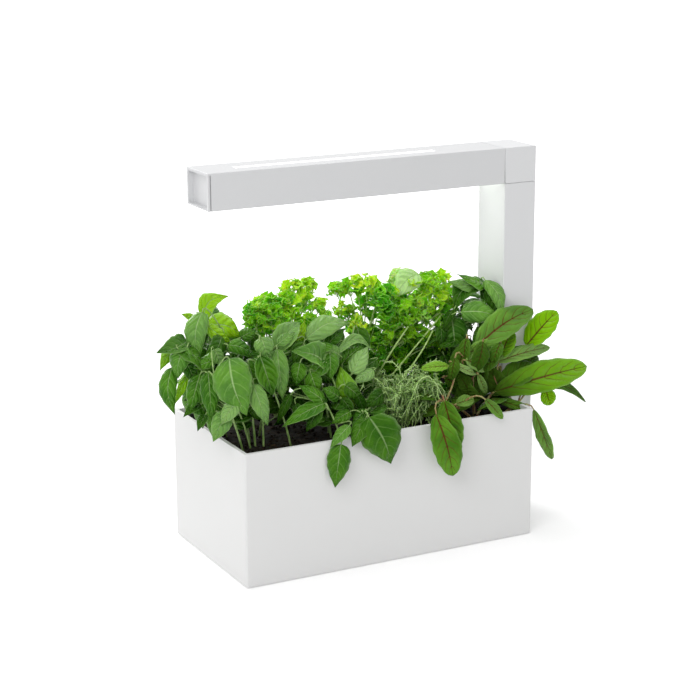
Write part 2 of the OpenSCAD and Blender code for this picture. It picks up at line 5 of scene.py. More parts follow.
import bmesh
import bpy
from mathutils import Matrix, Vector, noise


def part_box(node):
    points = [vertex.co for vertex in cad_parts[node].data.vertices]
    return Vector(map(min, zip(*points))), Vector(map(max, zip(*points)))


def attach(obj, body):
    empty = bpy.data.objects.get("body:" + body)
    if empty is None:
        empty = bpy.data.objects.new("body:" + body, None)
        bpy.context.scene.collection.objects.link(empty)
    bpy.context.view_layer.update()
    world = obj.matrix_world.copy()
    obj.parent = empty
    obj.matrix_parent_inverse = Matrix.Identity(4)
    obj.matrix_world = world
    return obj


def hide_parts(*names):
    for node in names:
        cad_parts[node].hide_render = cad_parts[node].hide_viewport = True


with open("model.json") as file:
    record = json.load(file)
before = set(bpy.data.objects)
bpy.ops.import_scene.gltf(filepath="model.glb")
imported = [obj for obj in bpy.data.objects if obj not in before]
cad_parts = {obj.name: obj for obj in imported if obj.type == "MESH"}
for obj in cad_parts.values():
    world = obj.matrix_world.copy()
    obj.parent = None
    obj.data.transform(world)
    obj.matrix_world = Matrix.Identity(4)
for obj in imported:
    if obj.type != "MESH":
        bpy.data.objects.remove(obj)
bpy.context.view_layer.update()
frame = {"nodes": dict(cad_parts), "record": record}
print("part loaded:", len(frame["nodes"]), "nodes")

scene = bpy.context.scene
scene.view_settings.view_transform = "Standard"
noise.seed_set(3)  # without it the clock seeds the noise vectors, and each run differs

# camera: metres and degrees, and the focal length in pixels of a square frame
camera = {
    "place": (-0.8723, -1.6528, 0.6955),
    "turn": -27.727,
    "pitch": 14.82,
    "roll": -0.19,
    "focal": 1870.65,
    "frame": 700,
    "sensor": 36,
    "farthest": 60,
}

eye = Vector(camera["place"])
eyeTurn = (
    Matrix.Rotation(math.radians(camera["turn"]), 3, "Z")
    @ Matrix.Rotation(math.radians(90 - camera["pitch"]), 3, "X")
    @ Matrix.Rotation(math.radians(camera["roll"]), 3, "Z")
)


# the point behind a pixel of the photo, at a depth that is its Y in mm
def spot(px, py, depth):
    middle = camera["frame"] / 2
    ray = eyeTurn @ Vector((px - middle, middle - py, -camera["focal"]))
    return eye + ray * ((depth / 1000 - eye.y) / ray.y)


def mm(x, y, z):
    return Vector((x, y, z)) / 1000


def placeCamera():
    data = bpy.data.cameras.new("photoCamera")
    data.sensor_width = camera["sensor"]
    data.lens = camera["focal"] / camera["frame"] * data.sensor_width
    data.clip_end = camera["farthest"]
    body = bpy.data.objects.new("photoCamera", data)
    body.matrix_world = Matrix.Translation(eye) @ eyeTurn.to_4x4()
    scene.collection.objects.link(body)
    scene.camera = body


placeCamera()


# sets a node's inputs, and links those that are given as sockets
def fill(tree, node, inputs):
    for key, value in inputs.items():
        if isinstance(value, bpy.types.NodeSocket):
            tree.links.new(value, node.inputs[key])
        else:
            node.inputs[key].default_value = value


def add(tree, kind, inputs=None, **settings):
    node = tree.nodes.new("ShaderNode" + kind)
    for key, value in settings.items():
        setattr(node, key, value)
    fill(tree, node, inputs or {})
    return node


def calc(tree, operation, first, second=0.0, clamp=False):
    node = add(tree, "Math", {0: first, 1: second}, operation=operation, use_clamp=clamp)
    return node.outputs[0]


def times(tree, first, second):
    return calc(tree, "MULTIPLY", first, second)


def minus(tree, first, second, clamp=False):
    return calc(tree, "SUBTRACT", first, second, clamp)


def ease(tree, value, low, high, start=0.0, end=1.0):
    sockets = {0: value, 1: low, 2: high, 3: start, 4: end}
    return add(tree, "MapRange", sockets, interpolation_type="SMOOTHSTEP").outputs[0]


def mixColour(tree, share, first, second):
    pair = [c if isinstance(c, bpy.types.NodeSocket) else (*c[:3], 1.0) for c in (first, second)]
    return add(tree, "Mix", {0: share, 6: pair[0], 7: pair[1]}, data_type="RGBA").outputs[2]


def bumpOf(tree, height, distance, strength):
    return add(tree, "Bump", {"Height": height, "Distance": distance, "Strength": strength}).outputs[0]


def objectNoise(tree, scale, detail=3.0, stretch=None):
    place = add(tree, "TexCoord").outputs["Object"]
    if stretch:
        place = add(tree, "Mapping", {0: place, 3: stretch}).outputs[0]
    return add(tree, "TexNoise", {"Vector": place, "Scale": scale, "Detail": detail}).outputs[0]


def newMaterial(name):
    material = bpy.data.materials.new(name)
    material.use_nodes = True
    tree = material.node_tree
    return material, tree, tree.nodes["Principled BSDF"]


# shared by all finishes: size of the colour drift, spread of the roughness, strength of the bump
grainLook = {"driftScale": 18.0, "detail": 2.0, "spread": 0.06, "bump": 0.6}


# a finish: colour, roughness, grain scale, grain depth in metres, colour drift
def finish(name, colour, rough, grain, depth, drift, metal=0.0, stretch=None, light=0.0):
    material, tree, skin = newMaterial(name)
    broad = objectNoise(tree, grainLook["driftScale"], grainLook["detail"])
    fine = objectNoise(tree, grain, grainLook["detail"], stretch)
    darker = [c * (1 - drift) for c in colour]
    paler = [min(1.0, c * (1 + drift)) for c in colour]
    tone = mixColour(tree, broad, darker, paler)
    spread = grainLook["spread"]
    fill(tree, skin, {
        "Base Color": tone,
        "Roughness": ease(tree, fine, 0.2, 0.8, rough - spread, rough + spread),
        "Metallic": metal,
        "Normal": bumpOf(tree, fine, depth, grainLook["bump"]),
    })
    if light:
        fill(tree, skin, {"Emission Color": tone, "Emission Strength": light})
    return material


# by the record's material slot, or by node where one piece differs from its slot; the box, lamp and post
# whites are one plastic, and their three tones are painted light and shade
finishes = {
    "shell_white": finish("satinWhiteBox", (0.84, 0.84, 0.835), 0.42, 1500.0, 0.00003, 0.01),
    "lamp_white": finish("satinWhiteLampPaintedShade", (0.72, 0.725, 0.735), 0.38, 1500.0, 0.00003, 0.012),
    "post_housing": finish("satinWhitePostPaintedShade", (0.78, 0.785, 0.795), 0.38, 1500.0, 0.00003, 0.012),
    "pad_rubber": finish("footRubber", (0.035, 0.035, 0.035), 0.8, 700.0, 0.0002, 0.15),
    "plate_steel": finish("whitePowderCoat", (0.74, 0.74, 0.73), 0.5, 420.0, 0.00012, 0.03),
    "screw_steel": finish("brightScrewSteel", (0.6, 0.6, 0.6), 0.28, 900.0, 0.00003, 0.06, metal=1.0),
    "mast_metal": finish("brushedAluminium", (0.72, 0.73, 0.74), 0.34, 900.0, 0.00004, 0.05, metal=1.0,
                         stretch=(1.0, 1.0, 0.03)),
    "slide_nylon": finish("naturalNylon", (0.8, 0.8, 0.76), 0.5, 500.0, 0.00006, 0.04),
    "tray_grey": finish("darkTrayPlastic", (0.045, 0.045, 0.045), 0.55, 800.0, 0.00008, 0.12),
    "wick_felt": finish("wickFelt", (0.66, 0.63, 0.56), 0.95, 1300.0, 0.0004, 0.12),
    "float_plastic": finish("greenFloat", (0.22, 0.5, 0.06), 0.3, 600.0, 0.00003, 0.05),
    "jack_black": finish("socketBlack", (0.02, 0.02, 0.02), 0.45, 900.0, 0.00006, 0.1),
    "board_green": finish("greenBoard", (0.02, 0.16, 0.06), 0.35, 260.0, 0.00008, 0.35),
    "driver_mix": finish("coilYellow", (0.5, 0.38, 0.1), 0.45, 300.0, 0.00015, 0.3),
    "button_grey": finish("greyButton", (0.5, 0.5, 0.51), 0.4, 1000.0, 0.00004, 0.03),
    "frosted": finish("litFrost", (0.97, 0.98, 0.96), 0.6, 1200.0, 0.00005, 0.01, light=0.8),
    "diffuser": finish("litDiffuser", (0.96, 0.98, 0.94), 0.6, 1200.0, 0.00005, 0.01, light=1.3),
    "board_white": finish("whiteBoard", (0.8, 0.81, 0.79), 0.4, 260.0, 0.00005, 0.05),
    "led_chip": finish("lightChip", (0.9, 0.75, 0.2), 0.3, 800.0, 0.00004, 0.06),
    "lead_rubber": finish("leadRubber", (0.03, 0.03, 0.03), 0.6, 900.0, 0.0001, 0.12),
}
# the corner block takes the post's painted tone
finishes["corner_block"] = finishes["post_housing"]
print("finishes made:", len(finishes))

soilLook = {"clods": 240.0, "fibres": 900.0, "fibreStretch": (1.0, 3.0, 1.0), "fibreShare": 0.5,
            "fibrePale": 1.7, "rough": (0.75, 0.98), "gloss": 0.12, "relief": 0.002, "bump": 0.9}


def soilMaterial(name, dark, pale):
    material, tree, skin = newMaterial(name)
    clods = objectNoise(tree, soilLook["clods"], 6.0)
    fibres = objectNoise(tree, soilLook["fibres"], 3.0, soilLook["fibreStretch"])
    tone = mixColour(tree, ease(tree, clods, 0.42, 0.68), dark, pale)
    share = ease(tree, fibres, 0.55, 0.8, 0.0, soilLook["fibreShare"])
    tone = mixColour(tree, share, tone, [c * soilLook["fibrePale"] for c in pale])
    fill(tree, skin, {
        "Base Color": tone,
        "Roughness": ease(tree, clods, 0.3, 0.7, *soilLook["rough"]),
        "Specular IOR Level": soilLook["gloss"],
        "Normal": bumpOf(tree, clods, soilLook["relief"], soilLook["bump"]),
    })
    return material


# shared by all leaves: forms of rib and veins, noise scales, relief, and light through the flesh; where the
# painted highlight of the margin starts, and how far the painted shade darkens
fleshLook = {"ribTip": 0.3, "ribEdge": 0.6, "veinArc": 1.5, "veinEnds": (0.5, 0.95), "wobble": 0.09,
             "wobbleScale": 90.0, "patchScale": 38.0, "rimHighlightFrom": 0.82, "shadeShare": 0.8, "groove": -0.8,
             "patchRelief": 1.2, "bump": 0.8, "roughScale": 200.0, "spread": 0.08,
             "scatter": (0.6, 1.0, 0.15), "scatterDepth": 0.0016}


# a leaf's colours: deep and fresh flesh, the painted tone of light through it, its veins and margin, its
# painted highlight (pale) and its painted shade (dark)
def leafMaterial(name, look):
    material, tree, skin = newMaterial(name)
    uv = add(tree, "UVMap", uv_map="leaf").outputs[0]
    parts = add(tree, "SeparateXYZ", {0: uv})
    along, across = parts.outputs[0], parts.outputs[1]
    side = calc(tree, "ABSOLUTE", times(tree, minus(tree, across, 0.5), 2.0))

    taper = ease(tree, along, 0.0, 1.0, look["ribWidth"], look["ribWidth"] * fleshLook["ribTip"])
    rib = minus(tree, 1.0, calc(tree, "DIVIDE", side, taper, clamp=True), clamp=True)
    rib = calc(tree, "POWER", rib, fleshLook["ribEdge"])

    arc = times(tree, calc(tree, "POWER", side, fleshLook["veinArc"]), look["veinLean"])
    drift = minus(tree, objectNoise(tree, fleshLook["wobbleScale"], 2.0), 0.5)
    line = calc(tree, "ADD", minus(tree, along, arc), times(tree, drift, fleshLook["wobble"]))
    wave = calc(tree, "FRACT", times(tree, line, look["veins"]))
    gap = calc(tree, "ABSOLUTE", minus(tree, wave, 0.5))
    reach = ease(tree, side, *fleshLook["veinEnds"], 1.0, 0.0)
    vein = times(tree, ease(tree, gap, 0.5 - look["veinWidth"], 0.5), reach)

    # painted light per point: glow is painted light through the leaf, shade is painted shade, pale is a
    # painted highlight
    tint = add(tree, "Attribute", attribute_name="leafLook")
    glow, shade, pale = add(tree, "SeparateColor", {0: tint.outputs["Color"]}).outputs
    patch = objectNoise(tree, fleshLook["patchScale"], 3.0)
    tone = mixColour(tree, ease(tree, patch, 0.32, 0.68), look["deep"], look["fresh"])
    # layers: painted backlight, painted highlights on pale leaves and pale margins, veins, rib, and painted
    # shade last
    layers = (
        (glow, "lit"),
        (pale, "pale"),
        (ease(tree, side, fleshLook["rimHighlightFrom"], 1.0, 0.0, look["margin"]), "pale"),
        (times(tree, vein, look["veinShow"]), "vein"),
        (times(tree, rib, look["ribShow"]), "rib"),
        (times(tree, shade, fleshLook["shadeShare"]), "dark"),
    )
    for share, colour in layers:
        tone = mixColour(tree, share, tone, look[colour])

    fine = objectNoise(tree, fleshLook["roughScale"], 2.0)
    spread = fleshLook["spread"]
    quilt = times(tree, ease(tree, gap, 0.0, 0.5, 1.0, 0.0), reach)
    height = calc(tree, "ADD", quilt, times(tree, rib, fleshLook["groove"]))
    height = calc(tree, "ADD", height, times(tree, patch, fleshLook["patchRelief"]))
    fill(tree, skin, {
        "Base Color": tone,
        "Roughness": ease(tree, fine, 0.3, 0.7, look["rough"] - spread, look["rough"] + spread),
        "Normal": bumpOf(tree, height, look["relief"], fleshLook["bump"]),
        # gloss is taken away where shade is painted
        "Specular IOR Level": times(tree, minus(tree, 1.0, shade, clamp=True), look["gloss"]),
        "Specular Tint": (*look["pale"], 1),
        "Subsurface Weight": look["soft"],
        "Subsurface Radius": fleshLook["scatter"],
        "Subsurface Scale": fleshLook["scatterDepth"],
    })
    return material


stalkLook = {"streaks": 700.0, "stretch": (1.0, 1.0, 0.15), "rough": (0.4, 0.55), "relief": 0.0002,
             "bump": 0.6}


def stalkMaterial(name, low, high):
    material, tree, skin = newMaterial(name)
    streak = objectNoise(tree, stalkLook["streaks"], 2.0, stalkLook["stretch"])
    fill(tree, skin, {
        "Base Color": mixColour(tree, ease(tree, streak, 0.35, 0.65), low, high),
        "Roughness": ease(tree, streak, 0.3, 0.7, *stalkLook["rough"]),
        "Normal": bumpOf(tree, streak, stalkLook["relief"], stalkLook["bump"]),
    })
    return material


# the half width of a blade, from its foot at 0 to its tip at 1
def ovate(u):
    return math.sin(math.pi * min(1.0, u) ** 0.68) ** (0.6 + 0.45 * u)


def oblong(u):
    return math.sin(math.pi * min(1.0, u) ** 0.95) ** 0.55


def frilled(u):
    return math.sin(math.pi * min(1.0, u) ** 1.25) ** 0.7 * (1 + 0.42 * math.sin(u * 19 + 0.6))


outlines = {"ovate": ovate, "oblong": oblong, "frilled": frilled}


def leafMesh():
    mesh = bmesh.new()
    mesh.loops.layers.uv.new("leaf")
    mesh.verts.layers.float_color.new("leafLook")
    return mesh


def join(mesh, part):
    bmesh.ops.recalc_face_normals(part, faces=part.faces)
    data = bpy.data.meshes.new("part")
    part.to_mesh(data)
    part.free()
    mesh.from_mesh(data)
    bpy.data.meshes.remove(data)


# metres: how far over the bed and how far in from its edges the herbs stand in each other's shade, which is
# painted on their leaves as darker colour
undergrowth = {"dark": 0.75, "height": 0.062, "front": 0.0002, "left": 0.0062, "right": 0.0032,
               "edge": 0.02}
bedLow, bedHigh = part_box("substrate")


def depthInside(point):
    margin = min(
        point.y - (bedLow.y + undergrowth["front"]),
        point.x - (bedLow.x + undergrowth["left"]),
        (bedHigh.x - undergrowth["right"]) - point.x,
    )
    low = 1 - (point.z - bedHigh.z) / undergrowth["height"]
    return max(0.0, min(1.0, low)) * max(0.0, min(1.0, margin / undergrowth["edge"]))


# how finely blades are cut, the waves of their margins, and what a fold takes from their width
blade = {"cuts": (10, 24), "cutsPerMetre": 500, "edgeWave": 0.035, "edgeTurns": 31, "ruffleTurns": 15,
         "twistFrom": 0.3, "foldNarrows": 0.3, "weld": 0.03}


# a grid bent into a blade, with a fold along its midrib, a dome and a wavy margin
def shapeLeaf(part, leaf):
    base, tip = leaf["from"], leaf["to"]
    axis = tip - base
    length = axis.length
    axis.normalize()
    toEye = (eye - (base + tip) / 2).normalized()
    wish = Vector((0, 0, 1)) * (1 - leaf["face"]) + toEye * leaf["face"]
    normal = (wish - axis * wish.dot(axis)).normalized()
    normal = Matrix.Rotation(math.radians(leaf["roll"]), 3, axis) @ normal
    side = normal.cross(axis)
    half = leaf["width"] / 2000
    outline = outlines[leaf["outline"]]
    seed = leaf["seed"]
    grid = bmesh.ops.create_grid(part, x_segments=leaf["cuts"], y_segments=leaf["rows"], size=0.5)["verts"]
    uvLayer = part.loops.layers.uv["leaf"]
    lookLayer = part.verts.layers.float_color["leafLook"]
    faces = {face for vert in grid for face in vert.link_faces}
    for face in faces:
        face.smooth = True
        for loop in face.loops:
            loop[uvLayer].uv = (loop.vert.co.x + 0.5, loop.vert.co.y + 0.5)
    for vert in grid:
        u, v = vert.co.x + 0.5, vert.co.y * 2
        away = abs(v)
        wave = math.sin(u * blade["edgeTurns"] + seed * 3)
        reach = half * outline(u) * (1 + blade["edgeWave"] * wave * away)
        fold = leaf["cup"] * away ** 1.5 + leaf["dome"] * math.sin(math.pi * away)
        phase = u * blade["ruffleTurns"] + seed * 5 + (2 if v > 0 else 0)
        ruffle = leaf["ruffle"] * away ** 2 * math.sin(phase)
        bend = math.sin(math.pi * u)
        middle = base + axis * length * u + side * leaf["bend"] * length * bend
        middle += normal * (leaf["arch"] * length * bend)
        narrowed = 1 - blade["foldNarrows"] * abs(fold)
        place = side * (v * reach * narrowed) + normal * reach * (fold + ruffle)
        turn = math.radians(leaf["twist"]) * (u - blade["twistFrom"])
        vert.co = middle + Matrix.Rotation(turn, 3, axis) @ place
        # painted shade: darker low and deep in the bed; fade paints shade at a leaf's foot and takes its
        # painted glow away there
        shade = min(1.0, leaf["shade"] + undergrowth["dark"] * depthInside(vert.co))
        shade = max(0.0, min(1.0, shade + leaf["fade"] * max(0.0, 1 - 2 * u)))
        vert[lookLayer] = (leaf["glow"] * (1 - leaf["fade"] * (1 - u)), shade, leaf["pale"], 1.0)
    bmesh.ops.remove_doubles(part, verts=grid, dist=blade["weld"] / 1000)
    kept = [face for face in faces if face.is_valid]
    bmesh.ops.recalc_face_normals(part, faces=kept)
    bmesh.ops.solidify(part, geom=kept, thickness=leaf["thick"] / 1000)


def growLeaf(mesh, leaf):
    part = leafMesh()
    shapeLeaf(part, leaf)
    join(mesh, part)


# rings along a line of points, joined into a closed stalk
def shapeStalk(part, points, thick, thin, sides=6):
    ring = None
    count = len(points)
    made = []
    for i, point in enumerate(points):
        ahead = (points[min(i + 1, count - 1)] - points[max(i - 1, 0)]).normalized()
        radius = (thick + (thin - thick) * i / (count - 1)) / 1000
        turn = ahead.to_track_quat("Z", "Y").to_matrix().to_4x4()
        verts = bmesh.ops.create_circle(part, cap_ends=i in (0, count - 1), segments=sides, radius=radius,
                                        matrix=Matrix.Translation(point) @ turn)["verts"]
        edges = list({e for v in verts for e in v.link_edges})
        made += [face for v in verts for face in v.link_faces]
        if ring:
            made += bmesh.ops.bridge_loops(part, edges=ring + edges)["faces"]
        ring = edges
    for face in set(made):
        face.smooth = len(face.verts) == 4
        face.material_index = 1


def growStalk(mesh, points, thick, thin, sides=6):
    part = leafMesh()
    shapeStalk(part, points, thick, thin, sides)
    join(mesh, part)


def curve(start, knee, end, steps=5):
    return [start * (1 - t) ** 2 + knee * 2 * t * (1 - t) + end * t ** 2
            for t in (i / steps for i in range(steps + 1))]


def meshObject(name, mesh):
    data = bpy.data.meshes.new(name)
    mesh.to_mesh(data)
    mesh.free()
    made = bpy.data.objects.new(name, data)
    scene.collection.objects.link(made)
    return made


def makePiece(mesh, name, materials, body, nodes=()):
    piece = meshObject(name, mesh)
    for material in materials:
        piece.data.materials.append(material)
    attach(piece, body)
    if nodes:
        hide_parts(*nodes)
    print("made", name, len(piece.data.polygons), "faces")


def plantMaterials(name, look, plant):
    flesh = leafMaterial(name + "Flesh", look)
    return [flesh, stalkMaterial(name + "Stalk", plant["stalkLow"], plant["stalkHigh"])]


# a leaf leans between facing up (0) and facing the camera (1); glow is painted light through it, shade is
# painted shade, pale is a painted highlight, and fade moves painted light into painted shade towards its
# foot
leafDefaults = {
    "outline": "ovate", "face": 0.7, "roll": 0, "bend": 0.0, "arch": 0.1, "cup": -0.2, "dome": 0.1,
    "twist": 0, "ruffle": 0.07, "glow": 0.0, "shade": 0.0, "pale": 0.0, "fade": 0.0,
    "cuts": 14, "rows": 8, "seed": 0, "thick": 0.5, "stalk": True, "stem": None,
}


# a leaf from its foot to its tip in the photo; its depth may be one for each end
def leaf(base, tip, depth, width, **changes):
    depths = depth if isinstance(depth, tuple) else (depth, depth)
    made = dict(leafDefaults, width=width, seed=base[0] * 0.37 + base[1] * 0.11)
    made["from"] = spot(*base, depths[0])
    made["to"] = spot(*tip, depths[1])
    fewest, most = blade["cuts"]
    made["cuts"] = max(fewest, min(most, round((made["to"] - made["from"]).length * blade["cutsPerMetre"])))
    made.update(changes)
    return made


# a stem runs from its root on the growing medium to a point near its highest leaves
def makeStem(root, top, depth, lean=0.3):
    low = mm(root[0], root[1], medium["top"] - medium["rooted"])
    high = spot(*top, depth)
    knee = low.lerp(high, 0.5)
    knee.x = low.x + (high.x - low.x) * lean
    knee.y = low.y + (high.y - low.y) * lean
    return curve(low, knee, high, 8)


# metres: a leaf's stalk leaves its stem this far below the leaf, or counts as this much longer
stalkRise = {"least": 0.004, "cost": 0.03}


def joinPoint(stems, leafBase, stem=None):
    best = None
    for points in ([stems[stem]] if stem is not None else stems):
        for i in range(len(points) - 1):
            for t in (0.0, 0.5):
                point = points[i].lerp(points[i + 1], t)
                rise = leafBase.z - point.z
                cost = (point - leafBase).length + (stalkRise["cost"] if rise < stalkRise["least"] else 0)
                if best is None or cost < best[0]:
                    best = (cost, point)
    return best[1]


def growPlant(mesh, stems, leaves, plant):
    for points in stems:
        growStalk(mesh, points, *plant["stemSize"], sides=8)
    for one in leaves:
        base, tip = one["from"], one["to"]
        if one["stalk"]:
            start = joinPoint(stems, base, one["stem"])
            knee = base - (tip - base).normalized() * (base - start).length * 0.45
            knee.z = max(knee.z, min(start.z, base.z))
            growStalk(mesh, curve(start, knee, base + (tip - base) * 0.04), *plant["petiole"])
        growLeaf(mesh, one)


# shares of the leaf's size, degrees, and the room over the medium in mm
innerLook = {"rise": (-0.1, 0.5), "length": (0.7, 1.1), "width": (0.5, 0.65), "roll": (-20, 20),
             "shade": (0.0, 0.35), "arch": 0.14, "sag": 0.25, "clear": 10, "offset": 8}


# leaves all round the stems, for the sides away from the camera
def innerLeaves(stems, count, size, seed, spread, low, **changes):
    chance = random.Random(seed)
    made = []
    for i in range(count):
        points = stems[i % len(stems)]
        point = points[chance.randint(int(len(points) * low), len(points) - 1)]
        angle = math.radians(chance.uniform(*spread))
        rise = chance.uniform(*innerLook["rise"])
        out = Vector((math.cos(angle), math.sin(angle), rise)).normalized()
        length = size * chance.uniform(*innerLook["length"]) / 1000
        width = size * chance.uniform(*innerLook["width"])
        one = dict(leafDefaults, width=width, seed=i * 1.7, stalk=False)
        one.update(face=0.0, arch=innerLook["arch"], roll=chance.uniform(*innerLook["roll"]),
                   shade=chance.uniform(*innerLook["shade"]))
        one.update(changes)
        one["from"] = point + out * (innerLook["offset"] / 1000)
        one["to"] = one["from"] + out * length - Vector((0, 0, length * innerLook["sag"]))
        sunk = (medium["top"] + innerLook["clear"]) / 1000 - min(one["from"].z, one["to"].z)
        for end in ("from", "to"):
            one[end] = one[end] + Vector((0, 0, max(0.0, sunk)))
        made.append(one)
    return made


# the ranges that a thicket's leaves are drawn from
thicketLook = {"roll": (-40, 40), "face": (0.4, 0.9), "bend": (-0.12, 0.12), "cup": (-0.5, 0.3),
               "arch": (0.05, 0.25), "twist": (-40, 40)}
thicketSize = {"length": (0.7, 1.15), "width": (0.52, 0.68), "aims": (200, 340), "tipNearer": 8}


# points spread evenly over a region of the photo: left, top, right and bottom
def evenly(area, count):
    for i in range(count):
        yield (area[0] + (area[2] - area[0]) * ((i + 0.5) * 0.618 % 1),
               area[1] + (area[3] - area[1]) * (i + 0.5) / count)


# leaves over a region of the photo, at seeded depths and angles
def thicket(area, depths, count, size, seed, shades, **changes):
    chance = random.Random(seed)
    ranges = {"shade": shades, **thicketLook}
    made = []
    for x, y in evenly(area, count):
        angle = math.radians(chance.uniform(*thicketSize["aims"]))
        length = size * chance.uniform(*thicketSize["length"])
        half = Vector((math.cos(angle), -math.sin(angle))) * length / 2
        depth = chance.uniform(*depths)
        look = {key: chance.uniform(*ends) for key, ends in ranges.items()}
        look.update(changes)
        made.append(leaf(base=(x - half.x, y - half.y), tip=(x + half.x, y + half.y),
                         depth=(depth, depth - thicketSize["tipNearer"]),
                         width=length * chance.uniform(*thicketSize["width"]), **look))
    return made


def inMm(length):
    return round(length * 1000, 3)


# the bed in mm: its size and the float's tube come from the frame
tubeLow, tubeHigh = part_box("float_guide")
medium = {
    "length": inMm(bedHigh.x - bedLow.x),
    "width": inMm(bedHigh.y - bedLow.y),
    "top": inMm(bedHigh.z),
    "tubeX": inMm((tubeLow.x + tubeHigh.x) / 2),
    "tubeY": inMm((tubeLow.y + tubeHigh.y) / 2),
    "tubeHole": 14.3,
    "depth": 24.0,
    "cell": 3.2,
    "bumps": 2.4,
    "bumpLength": 14,
    "flatEdge": 6,
    "settled": 0.8,
    "rooted": 4,
    "dark": (0.006, 0.005, 0.003),
    "pale": (0.028, 0.019, 0.011),
}


def makeMedium():
    mesh = bmesh.new()
    half = medium["length"] / 2, medium["width"] / 2
    cols, rows = (round(2 * h / medium["cell"]) for h in half)
    made = bmesh.ops.create_grid(mesh, x_segments=cols, y_segments=rows, size=0.5)
    hole = Vector((medium["tubeX"], medium["tubeY"]))
    for vert in made["verts"]:
        vert.co.x *= 2 * half[0]
        vert.co.y *= 2 * half[1]
    inside = [v for v in mesh.verts if (v.co.xy - hole).length < medium["tubeHole"]]
    bmesh.ops.delete(mesh, geom=inside, context="VERTS")
    for vert in mesh.verts:
        gap = vert.co.xy - hole
        if vert.is_boundary and gap.length < medium["tubeHole"] + 2 * medium["cell"]:
            vert.co.xy = hole + gap.normalized() * (medium["tubeHole"] + 0.2)
    rim = [e for e in mesh.edges if e.is_boundary]
    sides = bmesh.ops.extrude_edge_only(mesh, edges=rim)
    lower = [g for g in sides["geom"] if isinstance(g, bmesh.types.BMVert)]
    bmesh.ops.translate(mesh, verts=lower, vec=(0, 0, -medium["depth"]))
    rim = [e for e in mesh.edges if e.is_boundary]
    bmesh.ops.triangle_fill(mesh, edges=rim, use_beauty=True)
    for vert in mesh.verts:
        if vert.co.z > -1:
            edge = min(half[0] - abs(vert.co.x), half[1] - abs(vert.co.y))
            swell = medium["bumps"] * noise.fractal(vert.co / medium["bumpLength"], 1.0, 2.0, 4)
            vert.co.z += swell * min(1.0, edge / medium["flatEdge"]) - medium["settled"]
        vert.co.z += medium["top"]
    bmesh.ops.scale(mesh, vec=(0.001,) * 3, verts=mesh.verts)
    for face in mesh.faces:
        face.smooth = face.normal.z > 0.3
    soil = soilMaterial("darkMedium", medium["dark"], medium["pale"])
    makePiece(mesh, "growingMedium", [soil], "tray", ["substrate"])


crumbs = {"count": 900, "size": (0.8, 2.6), "width": (0.4, 0.9), "height": (0.35, 0.7), "lie": (-1, 1),
          "inset": 5, "rough": 0.4, "roughScale": 900, "dark": (0.009, 0.006, 0.004),
          "pale": (0.05, 0.032, 0.018)}


def makeCrumbs():
    chance = random.Random(11)
    mesh = bmesh.new()
    half = medium["length"] / 2 - crumbs["inset"], medium["width"] / 2 - crumbs["inset"]
    for i in range(crumbs["count"]):
        x, y = chance.uniform(-half[0], half[0]), chance.uniform(-half[1], half[1])
        if math.hypot(x - medium["tubeX"], y - medium["tubeY"]) < medium["tubeHole"] + crumbs["inset"]:
            continue
        size = chance.uniform(*crumbs["size"]) / 1000
        turn = Matrix.Rotation(chance.uniform(0, 6.28), 4, chance.choice("XYZ"))
        place = Matrix.Translation(mm(x, y, medium["top"] + chance.uniform(*crumbs["lie"])))
        width, height = chance.uniform(*crumbs["width"]), chance.uniform(*crumbs["height"])
        shape = Matrix.Diagonal((1.0, width, height, 1.0))
        bmesh.ops.create_icosphere(mesh, subdivisions=1, radius=size, matrix=place @ turn @ shape)
    for vert in mesh.verts:
        vert.co += noise.noise_vector(vert.co * crumbs["roughScale"]) * (crumbs["rough"] / 1000)
    soil = soilMaterial("coirCrumb", crumbs["dark"], crumbs["pale"])
    makePiece(mesh, "mediumCrumbs", [soil], "tray")


makeMedium()
makeCrumbs()

basilLook = {"deep": (0.036, 0.16, 0.005), "fresh": (0.1, 0.29, 0.012), "lit": (0.38, 0.72, 0.004),
             "pale": (0.45, 0.7, 0.26), "dark": (0.005, 0.026, 0.002), "vein": (0.28, 0.5, 0.13),
             "rib": (0.46, 0.68, 0.28), "ribWidth": 0.075, "ribShow": 0.85, "veinLean": 0.35, "veins": 5.0,
             "veinWidth": 0.09, "veinShow": 0.42, "margin": 0.4, "rough": 0.24, "gloss": 0.55,
             "relief": 0.0012, "soft": 0.2}
basil = {"stemSize": (1.15, 0.8), "petiole": (0.8, 0.55), "stalkLow": (0.2, 0.36, 0.08),
         "stalkHigh": (0.4, 0.58, 0.2)}


def makeBasil(name, node, stems, leaves):
    mesh = bmesh.new()
    growPlant(mesh, stems, leaves, basil)
    makePiece(mesh, name, plantMaterials(name, basilLook, basil), "tray", [node])


